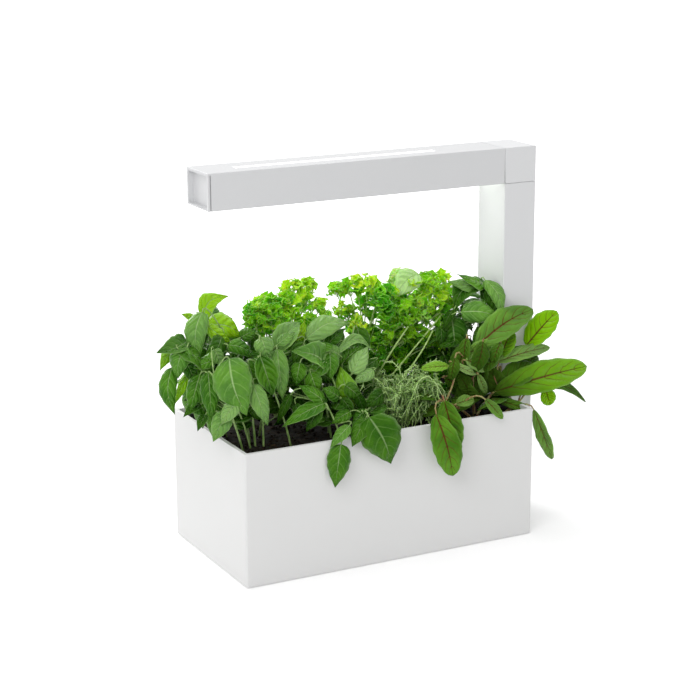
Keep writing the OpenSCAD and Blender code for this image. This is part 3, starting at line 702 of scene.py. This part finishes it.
basilLeftStems = [
    makeStem(root=(-130, -26), top=(222, 327), depth=-8),
    makeStem(root=(-98, -54), top=(258, 356), depth=-52),
    makeStem(root=(-139, 24), top=(206, 322), depth=10),
    makeStem(root=(-142, 4), top=(190, 345), depth=-4),
    makeStem(root=(-148, -49), top=(212, 374), depth=-56),
    makeStem(root=(-112, -8), top=(276, 346), depth=-30),
    makeStem(root=(-137, -42), top=(236, 405), depth=-44),
    makeStem(root=(-131, -40), top=(250, 396), depth=-42),
    makeStem(root=(-124, -44), top=(262, 392), depth=-44),
]
basilLeftLeaves = [
    leaf(base=(203, 320), tip=(229, 296), depth=(10, 4), width=22, bend=0.24, glow=0.75, cup=0.3),
    leaf(base=(206, 326), tip=(242, 337), depth=-2, width=30, glow=0.8, bend=0.12),
    leaf(base=(208, 326), tip=(231, 342), depth=-14, width=16, glow=0.7, bend=-0.08),
    leaf(base=(208, 322), tip=(196, 312), depth=2, width=11, pale=0.7),
    leaf(base=(197, 320), tip=(181, 314), depth=14, width=9, glow=0.8),
    leaf(base=(202, 312), tip=(200, 358), depth=(-14, -24), width=24, pale=0.2, arch=0.16, bend=-0.12),
    leaf(base=(202, 316), tip=(204, 346), depth=10, width=15, shade=0.3),
    leaf(base=(187, 341), tip=(156, 353), depth=(-10, -16), width=24, bend=0.12, shade=0.3, pale=0.1,
         cup=0.5, face=0.6),
    leaf(base=(182, 346), tip=(160, 371), depth=(-8, -12), width=15, glow=0.45, bend=-0.12),
    leaf(base=(187, 347), tip=(178, 379), depth=(-24, -30), width=22, bend=-0.1, pale=0.06, arch=0.2),
    leaf(base=(172, 367), tip=(175, 415), depth=(-20, -28), width=19, bend=-0.12, shade=0.1, arch=0.12),
    leaf(base=(190, 371), tip=(175, 404), depth=(-14, -20), width=11, glow=0.8),
    leaf(base=(221, 352), tip=(199, 359), depth=-26, width=15, bend=0.2, arch=0.2),
    leaf(base=(228, 345), tip=(252, 358), depth=-32, width=17, bend=0.12),
    leaf(base=(215, 360), tip=(193, 369), depth=-32, width=14, ruffle=0.16),
    leaf(base=(229, 358), tip=(247, 416), depth=(-58, -74), width=41, bend=-0.07, face=0.9, cup=-0.2,
         arch=0.14, pale=0.08),
    leaf(base=(200, 374), tip=(190, 412), depth=(-34, -42), width=20, shade=0.2),
    leaf(base=(208, 372), tip=(212, 421), depth=(-46, -58), width=20, shade=0.25),
    leaf(base=(227, 411), tip=(213, 442), depth=(-64, -74), width=21, pale=0.25, face=0.9),
    leaf(base=(236, 402), tip=(221, 425), depth=(-70, -74), width=17, pale=0.45),
    leaf(base=(253, 384), tip=(268, 426), depth=(-66, -76), width=19, pale=0.3, face=0.9),
    leaf(base=(275, 351), tip=(300, 322), depth=(-34, -24), width=26, pale=0.3, arch=0.2, cup=0.35),
    leaf(base=(277, 345), tip=(295, 332), depth=-42, width=13, pale=0.25),
    leaf(base=(297, 344), tip=(305, 321), depth=-20, width=13, glow=0.75),
    leaf(base=(323, 362), tip=(291, 351), depth=(-44, -50), width=31, cup=0.5, arch=0.2, pale=0.12),
    leaf(base=(277, 349), tip=(283, 401), depth=(-46, -56), width=20, pale=0.2, face=0.9),
    leaf(base=(260, 356), tip=(273, 396), depth=(-56, -62), width=27, shade=0.4, cup=0.6),
    leaf(base=(261, 337), tip=(268, 359), depth=(-44, -50), width=21, pale=0.3, arch=0.2),
    leaf(base=(248, 362), tip=(256, 392), depth=-54, width=18, shade=0.35),
    leaf(base=(240, 338), tip=(256, 330), depth=-20, width=16, shade=0.4),
    leaf(base=(214, 349), tip=(222, 366), depth=-36, width=14, pale=0.3),
    leaf(base=(186, 362), tip=(196, 384), depth=-22, width=15, shade=0.35),
    leaf(base=(190, 388), tip=(187, 413), depth=(2, 18), width=14, shade=0.2),
    leaf(base=(198, 392), tip=(196, 420), depth=(-6, 8), width=16, shade=0.25, bend=0.1),
    leaf(base=(206, 398), tip=(203, 429), depth=(-20, -8), width=17, shade=0.3, bend=-0.08),
    leaf(base=(214, 402), tip=(213, 438), depth=(-36, -30), width=17, shade=0.2),
]
basilLeftLeaves += thicket(area=(190, 346, 262, 408), depths=(-24, 26), count=26, size=33, seed=51,
                           shades=(0.2, 0.7))
basilLeftLeaves += thicket(area=(262, 348, 302, 408), depths=(-30, 8), count=14, size=30, seed=52,
                           shades=(0.2, 0.7))
basilLeftLeaves += thicket(area=(190, 395, 296, 424), depths=(-50, 20), count=12, size=22, seed=53,
                           shades=(0.4, 0.8))
basilLeftLeaves += innerLeaves(basilLeftStems, count=44, size=36, seed=5, spread=(20, 140), low=0.35)
makeBasil("basilLeft", "basil_left", basilLeftStems, basilLeftLeaves)

basilCentreStems = [
    makeStem(root=(-48, -37), top=(330, 345), depth=-20),
    makeStem(root=(-19, -24), top=(352, 352), depth=-18),
    makeStem(root=(-48, -69), top=(326, 404), depth=-66),
    makeStem(root=(-16, -69), top=(362, 410), depth=-72),
    makeStem(root=(-30, -44), top=(345, 372), depth=-30),
    makeStem(root=(-52, -52), top=(314, 354), depth=-46),
    makeStem(root=(-34, -56), top=(326, 362), depth=-48),
]
basilCentreLeaves = [
    leaf(base=(306, 339), tip=(350, 323), depth=(-28, -22), width=25, pale=0.4, arch=0.16, bend=0.08),
    leaf(base=(326, 346), tip=(345, 328), depth=-26, width=15, shade=0.4),
    leaf(base=(325, 402), tip=(298, 385), depth=(-64, -62), width=16),
    leaf(base=(325, 403), tip=(282, 427), depth=(-66, -74), width=17, cup=0.1),
    leaf(base=(291, 394), tip=(277, 424), depth=-62, width=10, shade=0.7),
    leaf(base=(351, 409), tip=(340, 366), depth=(-58, -46), width=27, glow=0.25, face=0.9),
    leaf(base=(351, 411), tip=(331, 424), depth=-68, width=15),
    leaf(base=(350, 425), tip=(330, 448), depth=(-91, -96), width=14, pale=0.1),
    leaf(base=(341, 444), tip=(335, 488), depth=(-97, -98), width=25, face=0.95, arch=0.05, shade=0.35,
         stem=3),
    leaf(base=(369, 417), tip=(391, 464), depth=(-99, -103), width=44, bend=0.06, face=0.9, arch=0.1,
         cup=-0.15, shade=0.48),
    leaf(base=(366, 409), tip=(352, 425), depth=-70, width=15),
    leaf(base=(374, 370), tip=(353, 384), depth=-50, width=15, pale=0.5),
    leaf(base=(338, 352), tip=(374, 353), depth=(-36, -30), width=13, bend=0.28, pale=0.45, cup=0.5),
    leaf(base=(344, 361), tip=(364, 345), depth=-32, width=17, shade=0.35),
    leaf(base=(352, 374), tip=(368, 346), depth=(-46, -36), width=20, pale=0.55),
    leaf(base=(330, 352), tip=(331, 380), depth=(-44, -54), width=19, shade=0.2),
    leaf(base=(326, 360), tip=(308, 380), depth=(-46, -52), width=20),
    leaf(base=(318, 350), tip=(338, 366), depth=-42, width=18, pale=0.35),
    leaf(base=(345, 385), tip=(362, 400), depth=-60, width=17, shade=0.4),
    leaf(base=(310, 372), tip=(318, 396), depth=-58, width=19, shade=0.35),
    leaf(base=(300, 362), tip=(296, 386), depth=-54, width=18, shade=0.3),
    leaf(base=(340, 398), tip=(322, 388), depth=-60, width=17, shade=0.2),
    leaf(base=(320, 408), tip=(306, 432), depth=-70, width=15, shade=0.5),
    leaf(base=(341, 356), tip=(322, 346), depth=-36, width=16, pale=0.3),
    leaf(base=(366, 418), tip=(352, 447), depth=(-93, -97), width=20, shade=0.5),
]
basilCentreLeaves += thicket(area=(292, 340, 368, 402), depths=(-30, 2), count=30, size=30, seed=61,
                             shades=(0.2, 0.75))
basilCentreLeaves += thicket(area=(290, 398, 380, 420), depths=(-62, -30), count=18, size=24, seed=66,
                             shades=(0.4, 0.85))
basilCentreLeaves += innerLeaves(basilCentreStems, count=30, size=34, seed=9, spread=(20, 160), low=0.3)
makeBasil("basilCentre", "basil_centre", basilCentreStems, basilCentreLeaves)

basilRightStems = [
    makeStem(root=(114, 50), top=(472, 300), depth=24),
    makeStem(root=(108, 44), top=(488, 300), depth=6),
    makeStem(root=(104, 20), top=(452, 330), depth=4),
]
basilRightLeaves = [
    leaf(base=(419, 274), tip=(395, 298), depth=(26, 16), width=28, pale=1.0, face=0.95, bend=-0.1,
         cup=0.1),
    leaf(base=(485, 282), tip=(457, 274), depth=(0, -4), width=21, bend=0.2, face=0.5),
    leaf(base=(482, 281), tip=(447, 281), depth=(4, 0), width=20, bend=0.14, pale=0.3),
    leaf(base=(479, 285), tip=(455, 311), depth=(-2, -8), width=27, bend=-0.2, shade=0.55, cup=0.4),
    leaf(base=(482, 286), tip=(479, 307), depth=(-4, -8), width=13, bend=0.25, shade=0.75),
    leaf(base=(485, 280), tip=(501, 317), depth=(-10, -36), width=18, bend=0.13, pale=0.2),
    leaf(base=(486, 288), tip=(495, 320), depth=(-10, -26), width=18, bend=0.12, shade=0.7),
    leaf(base=(461, 312), tip=(500, 318), depth=(-20, -34), width=26, bend=0.06, pale=0.1, face=0.8),
    leaf(base=(478, 322), tip=(498, 326), depth=(-18, -32), width=15, shade=0.7),
    leaf(base=(489, 326), tip=(472, 345), depth=-16, width=19, shade=0.1),
    leaf(base=(452, 317), tip=(456, 354), depth=(-8, -16), width=33, shade=0.35, face=0.9),
    leaf(base=(444, 330), tip=(462, 348), depth=-4, width=22, shade=0.7),
]
basilRightLeaves += thicket(area=(440, 318, 470, 372), depths=(-10, 12), count=18, size=25, seed=71,
                            shades=(0.4, 0.85))
basilRightLeaves += innerLeaves(basilRightStems, count=24, size=28, seed=15, spread=(110, 240), low=0.35)
makeBasil("basilRight", "basil_right", basilRightStems, basilRightLeaves)

sorrelLook = {"deep": (0.06, 0.18, 0.01), "fresh": (0.13, 0.32, 0.022), "lit": (0.25, 0.56, 0.001),
              "pale": (0.4, 0.62, 0.2), "dark": (0.025, 0.05, 0.006), "vein": (0.12, 0.025, 0.012),
              "rib": (0.12, 0.01, 0.01), "ribWidth": 0.11, "ribShow": 1.0, "veinLean": 0.3, "veins": 6.0,
              "veinWidth": 0.08, "veinShow": 0.85, "margin": 0.2, "rough": 0.33, "gloss": 0.24,
              "relief": 0.0009, "soft": 0.2}
sorrel = {"stemSize": (1.7, 1.2), "petiole": (1.0, 0.8), "stalkLow": (0.28, 0.08, 0.045),
          "stalkHigh": (0.4, 0.42, 0.14)}


def makeSorrel():
    stems = [
        makeStem(root=(117, -50), top=(472, 372), depth=-46),
        makeStem(root=(117, -52), top=(500, 385), depth=-52),
        makeStem(root=(136, -66), top=(520, 402), depth=-66),
        makeStem(root=(112, -54), top=(440, 400), depth=-74),
    ]
    wide = {"outline": "oblong", "arch": 0.06, "cup": 0.2}
    leaves = [
        leaf(base=(476, 348), tip=(533, 309), depth=(-44, -42), width=34, bend=0.04, pale=0.12, **wide),
        leaf(base=(526, 346), tip=(557, 311), depth=(-38, -36), width=30, glow=0.9, **wide),
        leaf(base=(497, 362), tip=(550, 347), depth=(-50, -42), width=17, pale=0.35, **wide),
        leaf(base=(467, 353), tip=(503, 345), depth=-48, width=20, glow=0.2, pale=0.2, **wide),
        leaf(base=(494, 392), tip=(587, 366), depth=(-60, -48), width=36, glow=0.75, fade=0.85, face=0.85,
             **wide),
        leaf(base=(500, 384), tip=(536, 366), depth=(-52, -48), width=30, shade=0.5, **wide),
        leaf(base=(530, 390), tip=(586, 402), depth=(-50, -44), width=13, bend=0.14, shade=0.45, **wide),
        leaf(base=(545, 388), tip=(550, 405), depth=-52, width=18, glow=1.0, **wide),
        leaf(base=(534, 409), tip=(552, 459), depth=(-66, -62), width=19, bend=0.06, pale=0.2, roll=50,
             **wide),
        leaf(base=(497, 400), tip=(533, 413), depth=(-66, -68), width=12, shade=0.35, **wide),
        leaf(base=(436, 414), tip=(453, 476), depth=(-102, -105), width=31, face=0.95, bend=0.03, **wide),
        leaf(base=(444, 400), tip=(457, 450), depth=(-95, -99), width=26, face=0.9, shade=0.15, **wide),
        leaf(base=(456, 404), tip=(474, 399), depth=-72, width=14, pale=0.3, **wide),
        leaf(base=(485, 399), tip=(503, 419), depth=(-88, -96), width=11, pale=0.15, **wide),
        leaf(base=(465, 360), tip=(489, 368), depth=-56, width=20, pale=0.4, **wide),
        leaf(base=(449, 366), tip=(421, 369), depth=-58, width=12, glow=0.7, pale=0.2, **wide),
        leaf(base=(452, 362), tip=(480, 373), depth=-58, width=9, bend=-0.1, pale=0.7, **wide),
        leaf(base=(478, 374), tip=(486, 394), depth=-62, width=9, pale=0.4, **wide),
        leaf(base=(503, 398), tip=(489, 368), depth=-50, width=24, shade=0.8, **wide),
        leaf(base=(470, 392), tip=(458, 374), depth=-56, width=18, shade=0.8, **wide),
        leaf(base=(520, 372), tip=(537, 355), depth=(-46, -40), width=20, shade=0.4, **wide),
        leaf(base=(508, 352), tip=(540, 352), depth=-44, width=14, shade=0.3, **wide),
        leaf(base=(500, 357), tip=(512, 330), depth=(-46, -38), width=22, glow=0.35, **wide),
    ]
    leaves += thicket(area=(452, 350, 500, 402), depths=(-58, -34), count=18, size=30, seed=81,
                      shades=(0.35, 0.8), outline="oblong")
    leaves += innerLeaves(stems, count=12, size=34, seed=21, spread=(125, 200), low=0.3, outline="oblong")
    mesh = bmesh.new()
    growPlant(mesh, stems, leaves, sorrel)
    makePiece(mesh, "redVeinedSorrel", plantMaterials("sorrel", sorrelLook, sorrel), "tray",
              ["sorrel"])


makeSorrel()

# the flesh colours are far brighter than leaf flesh, as painted light shining through the leaflets
parsleyLook = {"deep": (0.08, 0.48, 0.004), "fresh": (0.37, 0.93, 0.012), "lit": (0.6, 0.99, 0.02),
               "pale": (0.66, 0.9, 0.4), "dark": (0.012, 0.08, 0.003), "vein": (0.35, 0.68, 0.06),
               "rib": (0.5, 0.78, 0.15), "ribWidth": 0.2, "ribShow": 0.4, "veinLean": 0.6, "veins": 4.0,
               "veinWidth": 0.12, "veinShow": 0.3, "margin": 0.3, "rough": 0.38, "gloss": 0.28,
               "relief": 0.0006, "soft": 0.7}
parsley = {"leaflet": 14.5, "leafletWide": 14.0, "ruffle": 0.5, "leaflets": 8, "thick": 0.35, "roll": 50,
           "offset": (1, 5), "lengths": (0.75, 1.15), "widths": (0.8, 1.2), "glowDrift": 0.3,
           "shadeDrift": 0.25, "stalkSize": (0.9, 0.6), "reedSize": (1.2, 0.8), "footSpread": 5,
           "kneeRise": 12, "stalkLow": (0.36, 0.6, 0.12), "stalkHigh": (0.62, 0.82, 0.32)}


# a crown of leaflets at a point of the photo, with its painted glow, painted shade and pale painted
# highlight
def crown(at, depth, size=1.0, glow=0.35, shade=0.0, pale=0.0):
    return {"place": spot(*at, depth), "size": size, "glow": glow, "shade": shade, "pale": pale}


# crowns over a region of the photo
def crownField(area, depths, count, seed, shades=(0.1, 0.5)):
    chance = random.Random(seed)
    return [crown(at, depth=chance.uniform(*depths), size=chance.uniform(0.75, 1.05),
                  glow=chance.uniform(0.0, 0.3), shade=chance.uniform(*shades))
            for at in evenly(area, count)]


# a stalk without leaves, by its knee and its end in the photo and the depths of both
def reed(knee, end, depths):
    return spot(*knee, depths[0]), spot(*end, depths[1])


def within(value, drift, chance):
    return min(1.0, max(0.0, value + chance.uniform(-drift, drift)))


def growCrown(mesh, top, ahead, chance):
    part = leafMesh()
    nearest, farthest = parsley["offset"]
    for _ in range(parsley["leaflets"]):
        out = Vector([chance.gauss(0, 1) for _ in range(3)]).normalized()
        out = (out + ahead * 0.5).normalized()
        base = top["place"] + out * chance.uniform(nearest / 1000, farthest / 1000) * top["size"]
        length = parsley["leaflet"] * top["size"] * chance.uniform(*parsley["lengths"]) / 1000
        width = parsley["leafletWide"] * top["size"] * chance.uniform(*parsley["widths"])
        one = dict(leafDefaults, width=width, outline="frilled", ruffle=parsley["ruffle"])
        one.update(face=0.4, cup=0.3, dome=0.0, arch=0.12, cuts=10, rows=4, thick=parsley["thick"],
                   roll=chance.uniform(-parsley["roll"], parsley["roll"]), seed=chance.uniform(0, 9),
                   pale=top["pale"],
                   glow=within(top["glow"], parsley["glowDrift"], chance),
                   shade=within(top["shade"], parsley["shadeDrift"], chance))
        one["from"], one["to"] = base, base + out * length
        shapeStalk(part, [top["place"] - ahead * 0.004, base.lerp(one["to"], 0.1)], 0.45, 0.35, 4)
        shapeLeaf(part, one)
    join(mesh, part)


def growParsley(mesh, root, crowns, reeds, chance):
    foot = mm(root[0], root[1], medium["top"] - medium["rooted"])
    side = parsley["footSpread"]
    for knee, end in reeds:
        growStalk(mesh, curve(foot, knee, end, 10), *parsley["reedSize"])
    for top in crowns:
        start = foot + mm(chance.uniform(-side, side), chance.uniform(-side, side), 0)
        knee = start.lerp(top["place"], 0.55) + mm(0, 0, parsley["kneeRise"])
        knee.xy = start.xy.lerp(top["place"].xy, 0.3)
        stalk = curve(start, knee, top["place"], 8)
        growStalk(mesh, stalk, *parsley["stalkSize"])
        growCrown(mesh, top, (stalk[-1] - stalk[-2]).normalized(), chance)


def makeParsley(name, node, root, crowns, seed, reeds=()):
    mesh = bmesh.new()
    growParsley(mesh, root, crowns, reeds, random.Random(seed))
    makePiece(mesh, name, plantMaterials(name, parsleyLook, parsley), "tray", [node])


parsleyLeftCrowns = [
    crown(at=(255, 311), depth=20, size=0.8),
    crown(at=(270, 304), depth=24, size=0.95),
    crown(at=(292, 292), depth=30, size=0.95, glow=0.6),
    crown(at=(306, 288), depth=34, size=0.8),
    crown(at=(290, 305), depth=22, glow=0.3, shade=0.1),
    crown(at=(307, 302), depth=28, size=0.9),
    crown(at=(320, 310), depth=20, size=0.85, glow=0.4),
    crown(at=(250, 315), depth=6, size=0.7, glow=0.1, shade=0.3),
    crown(at=(270, 317), depth=4, size=0.95, glow=0.15, shade=0.25),
    crown(at=(282, 311), depth=14, size=0.9, glow=0.1, shade=0.3),
    crown(at=(294, 314), depth=18, size=0.8, glow=0.2, shade=0.2),
    crown(at=(256, 328), depth=-6, size=0.9, glow=0.1, shade=0.5),
    crown(at=(272, 326), depth=-4, size=0.9, glow=0.2, shade=0.3),
    crown(at=(286, 296), depth=52, size=0.9),
    crown(at=(262, 308), depth=56, size=0.9),
    crown(at=(300, 312), depth=56, size=0.9),
    crown(at=(276, 316), depth=62),
]
parsleyLeftCrowns += crownField(area=(252, 314, 326, 350), depths=(0, 44), count=14, seed=31)
makeParsley("parsleyLeft", "parsley_left", (-66, 41), parsleyLeftCrowns, seed=3)

parsleyRightCrowns = [
    crown(at=(337, 294), depth=34, size=0.75, glow=0.4),
    crown(at=(350, 293), depth=30, size=0.95, glow=0.05, shade=0.25),
    crown(at=(357, 283), depth=30, size=0.8, glow=0.9),
    crown(at=(369, 286), depth=30, size=0.85, glow=0.6),
    crown(at=(341, 309), depth=20, size=0.6, glow=0.6),
    crown(at=(357, 327), depth=4, size=0.8, glow=0.8),
    crown(at=(379, 297), depth=20, glow=0.15),
    crown(at=(393, 297), depth=22, glow=0.45),
    crown(at=(380, 311), depth=10, size=1.1, glow=0.05, shade=0.25),
    crown(at=(396, 311), depth=12, size=1.05, glow=0.05, shade=0.4),
    crown(at=(384, 326), depth=2, size=1.05, glow=0.1, shade=0.3),
    crown(at=(402, 281), depth=34, size=0.95, glow=0.1, pale=0.7),
    crown(at=(411, 291), depth=24, glow=0.6),
    crown(at=(412, 307), depth=16, size=0.9, glow=0.2, shade=0.2, pale=0.1),
    crown(at=(428, 285), depth=26, glow=0.25, shade=0.15),
    crown(at=(442, 284), depth=28, size=0.95, glow=0.55),
    crown(at=(432, 293), depth=18, size=1.05, glow=0.05, shade=0.35),
    crown(at=(446, 295), depth=20, glow=0.3, shade=0.1),
    crown(at=(440, 304), depth=12, size=0.95, glow=0.6),
    crown(at=(426, 306), depth=12, size=0.9, glow=0.3, shade=0.15),
    crown(at=(450, 308), depth=14, size=0.8, glow=0.2, shade=0.2),
    crown(at=(418, 320), depth=4, size=0.9, glow=0.1, shade=0.3, pale=0.2),
    crown(at=(438, 314), depth=4, size=0.9, glow=0.1, shade=0.6),
    crown(at=(400, 326), depth=0, size=0.9, glow=0.0, shade=0.6),
    crown(at=(376, 300), depth=60),
    crown(at=(400, 296), depth=64),
    crown(at=(424, 296), depth=64),
    crown(at=(390, 310), depth=70),
]
parsleyRightCrowns += crownField(area=(346, 300, 446, 352), depths=(0, 44), count=20, seed=41,
                                 shades=(0.2, 0.7))
parsleyRightCrowns += crownField(area=(366, 340, 448, 380), depths=(-4, 54), count=30, seed=42,
                                 shades=(0.5, 0.95))
parsleyRightReeds = [
    reed(knee=(390, 378), end=(447, 308), depths=(-34, 4)),
    reed(knee=(374, 372), end=(418, 313), depths=(-30, 0)),
    reed(knee=(408, 384), end=(433, 330), depths=(-34, -8)),
]
makeParsley("parsleyRight", "parsley_right", (29, 33), parsleyRightCrowns, seed=4, reeds=parsleyRightReeds)

thymeLook = dict(basilLook, deep=(0.08, 0.22, 0.03), fresh=(0.22, 0.43, 0.08), lit=(0.5, 0.7, 0.2),
                 pale=(0.56, 0.78, 0.34), dark=(0.02, 0.05, 0.012), veinShow=0.1, rough=0.5, relief=0.0003)
# lift lightens the painted shade on the thyme's leaves
thyme = {"root": (42, -42), "spread": (16, 8), "rooted": 3, "strands": 140, "reach": 50, "height": 42,
         "reaches": (0.25, 1.0), "peaks": (0.5, 1.45), "ends": (0.1, 0.9), "frontReach": 0.6,
         "wander": 6.5, "wanderScale": 150, "wire": 0.72, "wireLow": (0.4, 0.68, 0.14),
         "wireHigh": (0.7, 0.92, 0.42), "leaf": 3.8, "leafLength": (0.7, 1.1), "leafWidth": 0.55,
         "roll": 40, "thick": 0.3, "lift": 0.45}


# a wiry strand with small leaves in pairs
def growStrand(mesh, chance, index):
    angle = chance.uniform(0, 2 * math.pi)
    foot, spread = thyme["root"], thyme["spread"]
    start = mm(foot[0] + chance.gauss(0, spread[0]), foot[1] + chance.gauss(0, spread[1]),
               medium["top"] - thyme["rooted"])
    reach = thyme["reach"] * chance.uniform(*thyme["reaches"])
    front = thyme["frontReach"] if math.sin(angle) < 0 else 1.0
    flat = Vector((math.cos(angle), math.sin(angle) * front, 0))
    peak = thyme["height"] * chance.uniform(*thyme["peaks"])
    knee = start + flat * reach * 0.0004 + Vector((0, 0, peak * 1.6)) / 1000
    end = start + flat * reach / 1000 + Vector((0, 0, peak * chance.uniform(*thyme["ends"]))) / 1000
    path = curve(start, knee, end, 7)
    for k in range(1, len(path)):
        drift = noise.noise_vector(path[k] * thyme["wanderScale"] + Vector((index, 0, 0)))
        path[k] = path[k] + drift * (thyme["wander"] / 1000)
    bright = chance.random()
    part = leafMesh()
    shapeStalk(part, path, thyme["wire"], thyme["wire"] * 0.7, 4)
    for k in range(1, len(path) - 1):
        along = (path[k + 1] - path[k]).normalized()
        for share in (0.0, 0.4):
            point = path[k].lerp(path[k + 1], share)
            out = along.cross(Vector([chance.gauss(0, 1) for _ in range(3)])).normalized()
            for way in (1, -1):
                # each strand gets a random share of painted highlight (pale) and painted shade; lift takes
                # back part of the painted undergrowth shade
                one = dict(leafDefaults, width=thyme["leaf"] * thyme["leafWidth"], cuts=3, rows=2, ruffle=0,
                           face=0.2, pale=bright * 0.8, shade=(1 - bright) * 0.4 - thyme["lift"],
                           roll=chance.uniform(-thyme["roll"], thyme["roll"]), thick=thyme["thick"])
                aim = (out * way + along * 0.5).normalized()
                length = thyme["leaf"] * chance.uniform(*thyme["leafLength"])
                one["from"], one["to"] = point, point + aim * length / 1000
                shapeLeaf(part, one)
    join(mesh, part)


def makeThyme():
    chance = random.Random(8)
    mesh = bmesh.new()
    for i in range(thyme["strands"]):
        growStrand(mesh, chance, i)
    flesh = leafMaterial("thymeFlesh", thymeLook)
    stalk = stalkMaterial("thymeWire", thyme["wireLow"], thyme["wireHigh"])
    makePiece(mesh, "thymeTuft", [flesh, stalk], "tray", ["thyme"])


makeThyme()
print("herbs grown")

# white shells: degrees over which an edge is rounded, and what counts as flat and as one point
shell = {"sharp": 60, "flat": 0.5, "weld": 0.000002, "segments": 3}


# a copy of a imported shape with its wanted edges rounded
def roundedShell(name, node, body, slot, radius, wanted):
    mesh = bmesh.new()
    mesh.from_mesh(frame["nodes"][node].data)
    bmesh.ops.remove_doubles(mesh, verts=mesh.verts, dist=shell["weld"])
    flat = math.radians(shell["flat"])
    bmesh.ops.dissolve_limit(mesh, angle_limit=flat, verts=mesh.verts, edges=mesh.edges)
    edges = [e for e in mesh.edges if len(e.link_faces) == 2 and e.is_convex
             and math.degrees(e.calc_face_angle(0)) > shell["sharp"] and wanted(e)]
    bmesh.ops.bevel(mesh, geom=edges, offset=radius / 1000, offset_type="OFFSET", affect="EDGES",
                    segments=shell["segments"], profile=0.5, material=-1, clamp_overlap=True)
    print("rounding", len(edges), "edges of", node)
    makePiece(mesh, name, [finishes.get(node) or finishes[slot]], body, [node])


# edges along which two sides of the node's box meet
def outerEdge(node, gap=0.0008):
    low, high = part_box(node)

    def wanted(edge):
        middle = (edge.verts[0].co + edge.verts[1].co) / 2
        near = sum(min(abs(middle[k] - low[k]), abs(middle[k] - high[k])) < gap for k in range(3))
        return near >= 2
    return wanted


# edges of the node's open top
def rimEdge(node, gap=0.0003):
    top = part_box(node)[1].z
    return lambda edge: all(abs(v.co.z - top) < gap for v in edge.verts)


roundedShell("planterShell", "planter_box", "planter", "shell_white", 0.7, rimEdge("planter_box"))
roundedShell("postShell", "post_housing", "lamp", "lamp_white", 0.5, outerEdge("post_housing"))
roundedShell("cornerShell", "corner_block", "lamp", "lamp_white", 0.5, outerEdge("corner_block"))
roundedShell("armShell", "arm_housing", "lamp", "lamp_white", 0.5, outerEdge("arm_housing"))
roundedShell("capShell", "end_cap", "lamp", "lamp_white", 0.4, outerEdge("end_cap"))

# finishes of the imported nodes
for row in frame["record"]["subparts"]:
    node = frame["nodes"][row["node"]]
    if node.hide_render:
        continue
    chosen = finishes.get(row["node"]) or finishes.get(row["material_slot"])
    if chosen is None:
        print("no finish for", row["node"], row["material_slot"])
        continue
    for place in node.material_slots:
        place.material = chosen
    if not node.material_slots:
        node.data.materials.append(chosen)
print("finishes set")

# floor, background and light, in metres and watts
light = {"world": 0.56, "floor": (0.94, 0.94, 0.94), "floorRough": 0.9, "floorSize": 14.0, "floorSides": 64,
         "lift": 0.25, "fadeFrom": 0.5, "fadeTo": 2.2, "aim": (0, 0, 0.2)}
lamps = {
    "keyLight": {"at": (-1.7, -1.5, 2.0), "size": 1.6, "watts": 22},
    "topLight": {"at": (0.2, 0.5, 2.4), "size": 1.6, "watts": 12},
    "backLight": {"at": (-0.5, 1.8, 1.3), "size": 1.2, "watts": 16},
}


# 1 for rays that show the background, 0 for rays that light the object
def shownRays(tree):
    path = tree.nodes.new("ShaderNodeLightPath")
    rays = calc(tree, "MAXIMUM", path.outputs["Is Camera Ray"], path.outputs["Is Transmission Ray"])
    return calc(tree, "MAXIMUM", rays, path.outputs["Is Glossy Ray"])


def makeFloor():
    mesh = bmesh.new()
    bmesh.ops.create_circle(mesh, cap_ends=True, segments=light["floorSides"], radius=light["floorSize"])
    floor = meshObject("studioFloor", mesh)
    material, tree, skin = newMaterial("paleFloor")
    place = add(tree, "TexCoord").outputs["Object"]
    away = add(tree, "VectorMath", {0: place}, operation="LENGTH").outputs["Value"]
    white = ease(tree, away, light["fadeFrom"], light["fadeTo"], light["lift"], 1.0)
    fill(tree, skin, {
        "Base Color": (*light["floor"], 1),
        "Roughness": light["floorRough"],
        "Specular IOR Level": 0.0,
        "Emission Color": (1, 1, 1, 1),
        "Emission Strength": times(tree, white, shownRays(tree)),
    })
    floor.data.materials.append(material)


def makeLight():
    world = bpy.data.worlds.new("studioWorld")
    world.use_nodes = True
    scene.world = world
    tree = world.node_tree
    extra = times(tree, shownRays(tree), 1 - light["world"])
    fill(tree, tree.nodes["Background"], {
        "Color": (1, 1, 1, 1),
        "Strength": calc(tree, "ADD", extra, light["world"]),
    })
    for name, lamp in lamps.items():
        data = bpy.data.lights.new(name, "AREA")
        data.shape = "DISK"
        data.size = lamp["size"]
        data.energy = lamp["watts"]
        made = bpy.data.objects.new(name, data)
        made.location = lamp["at"]
        aim = Vector(light["aim"]) - Vector(lamp["at"])
        made.rotation_euler = aim.to_track_quat("-Z", "Y").to_euler()
        scene.collection.objects.link(made)


makeFloor()
makeLight()
print("floor and light set")
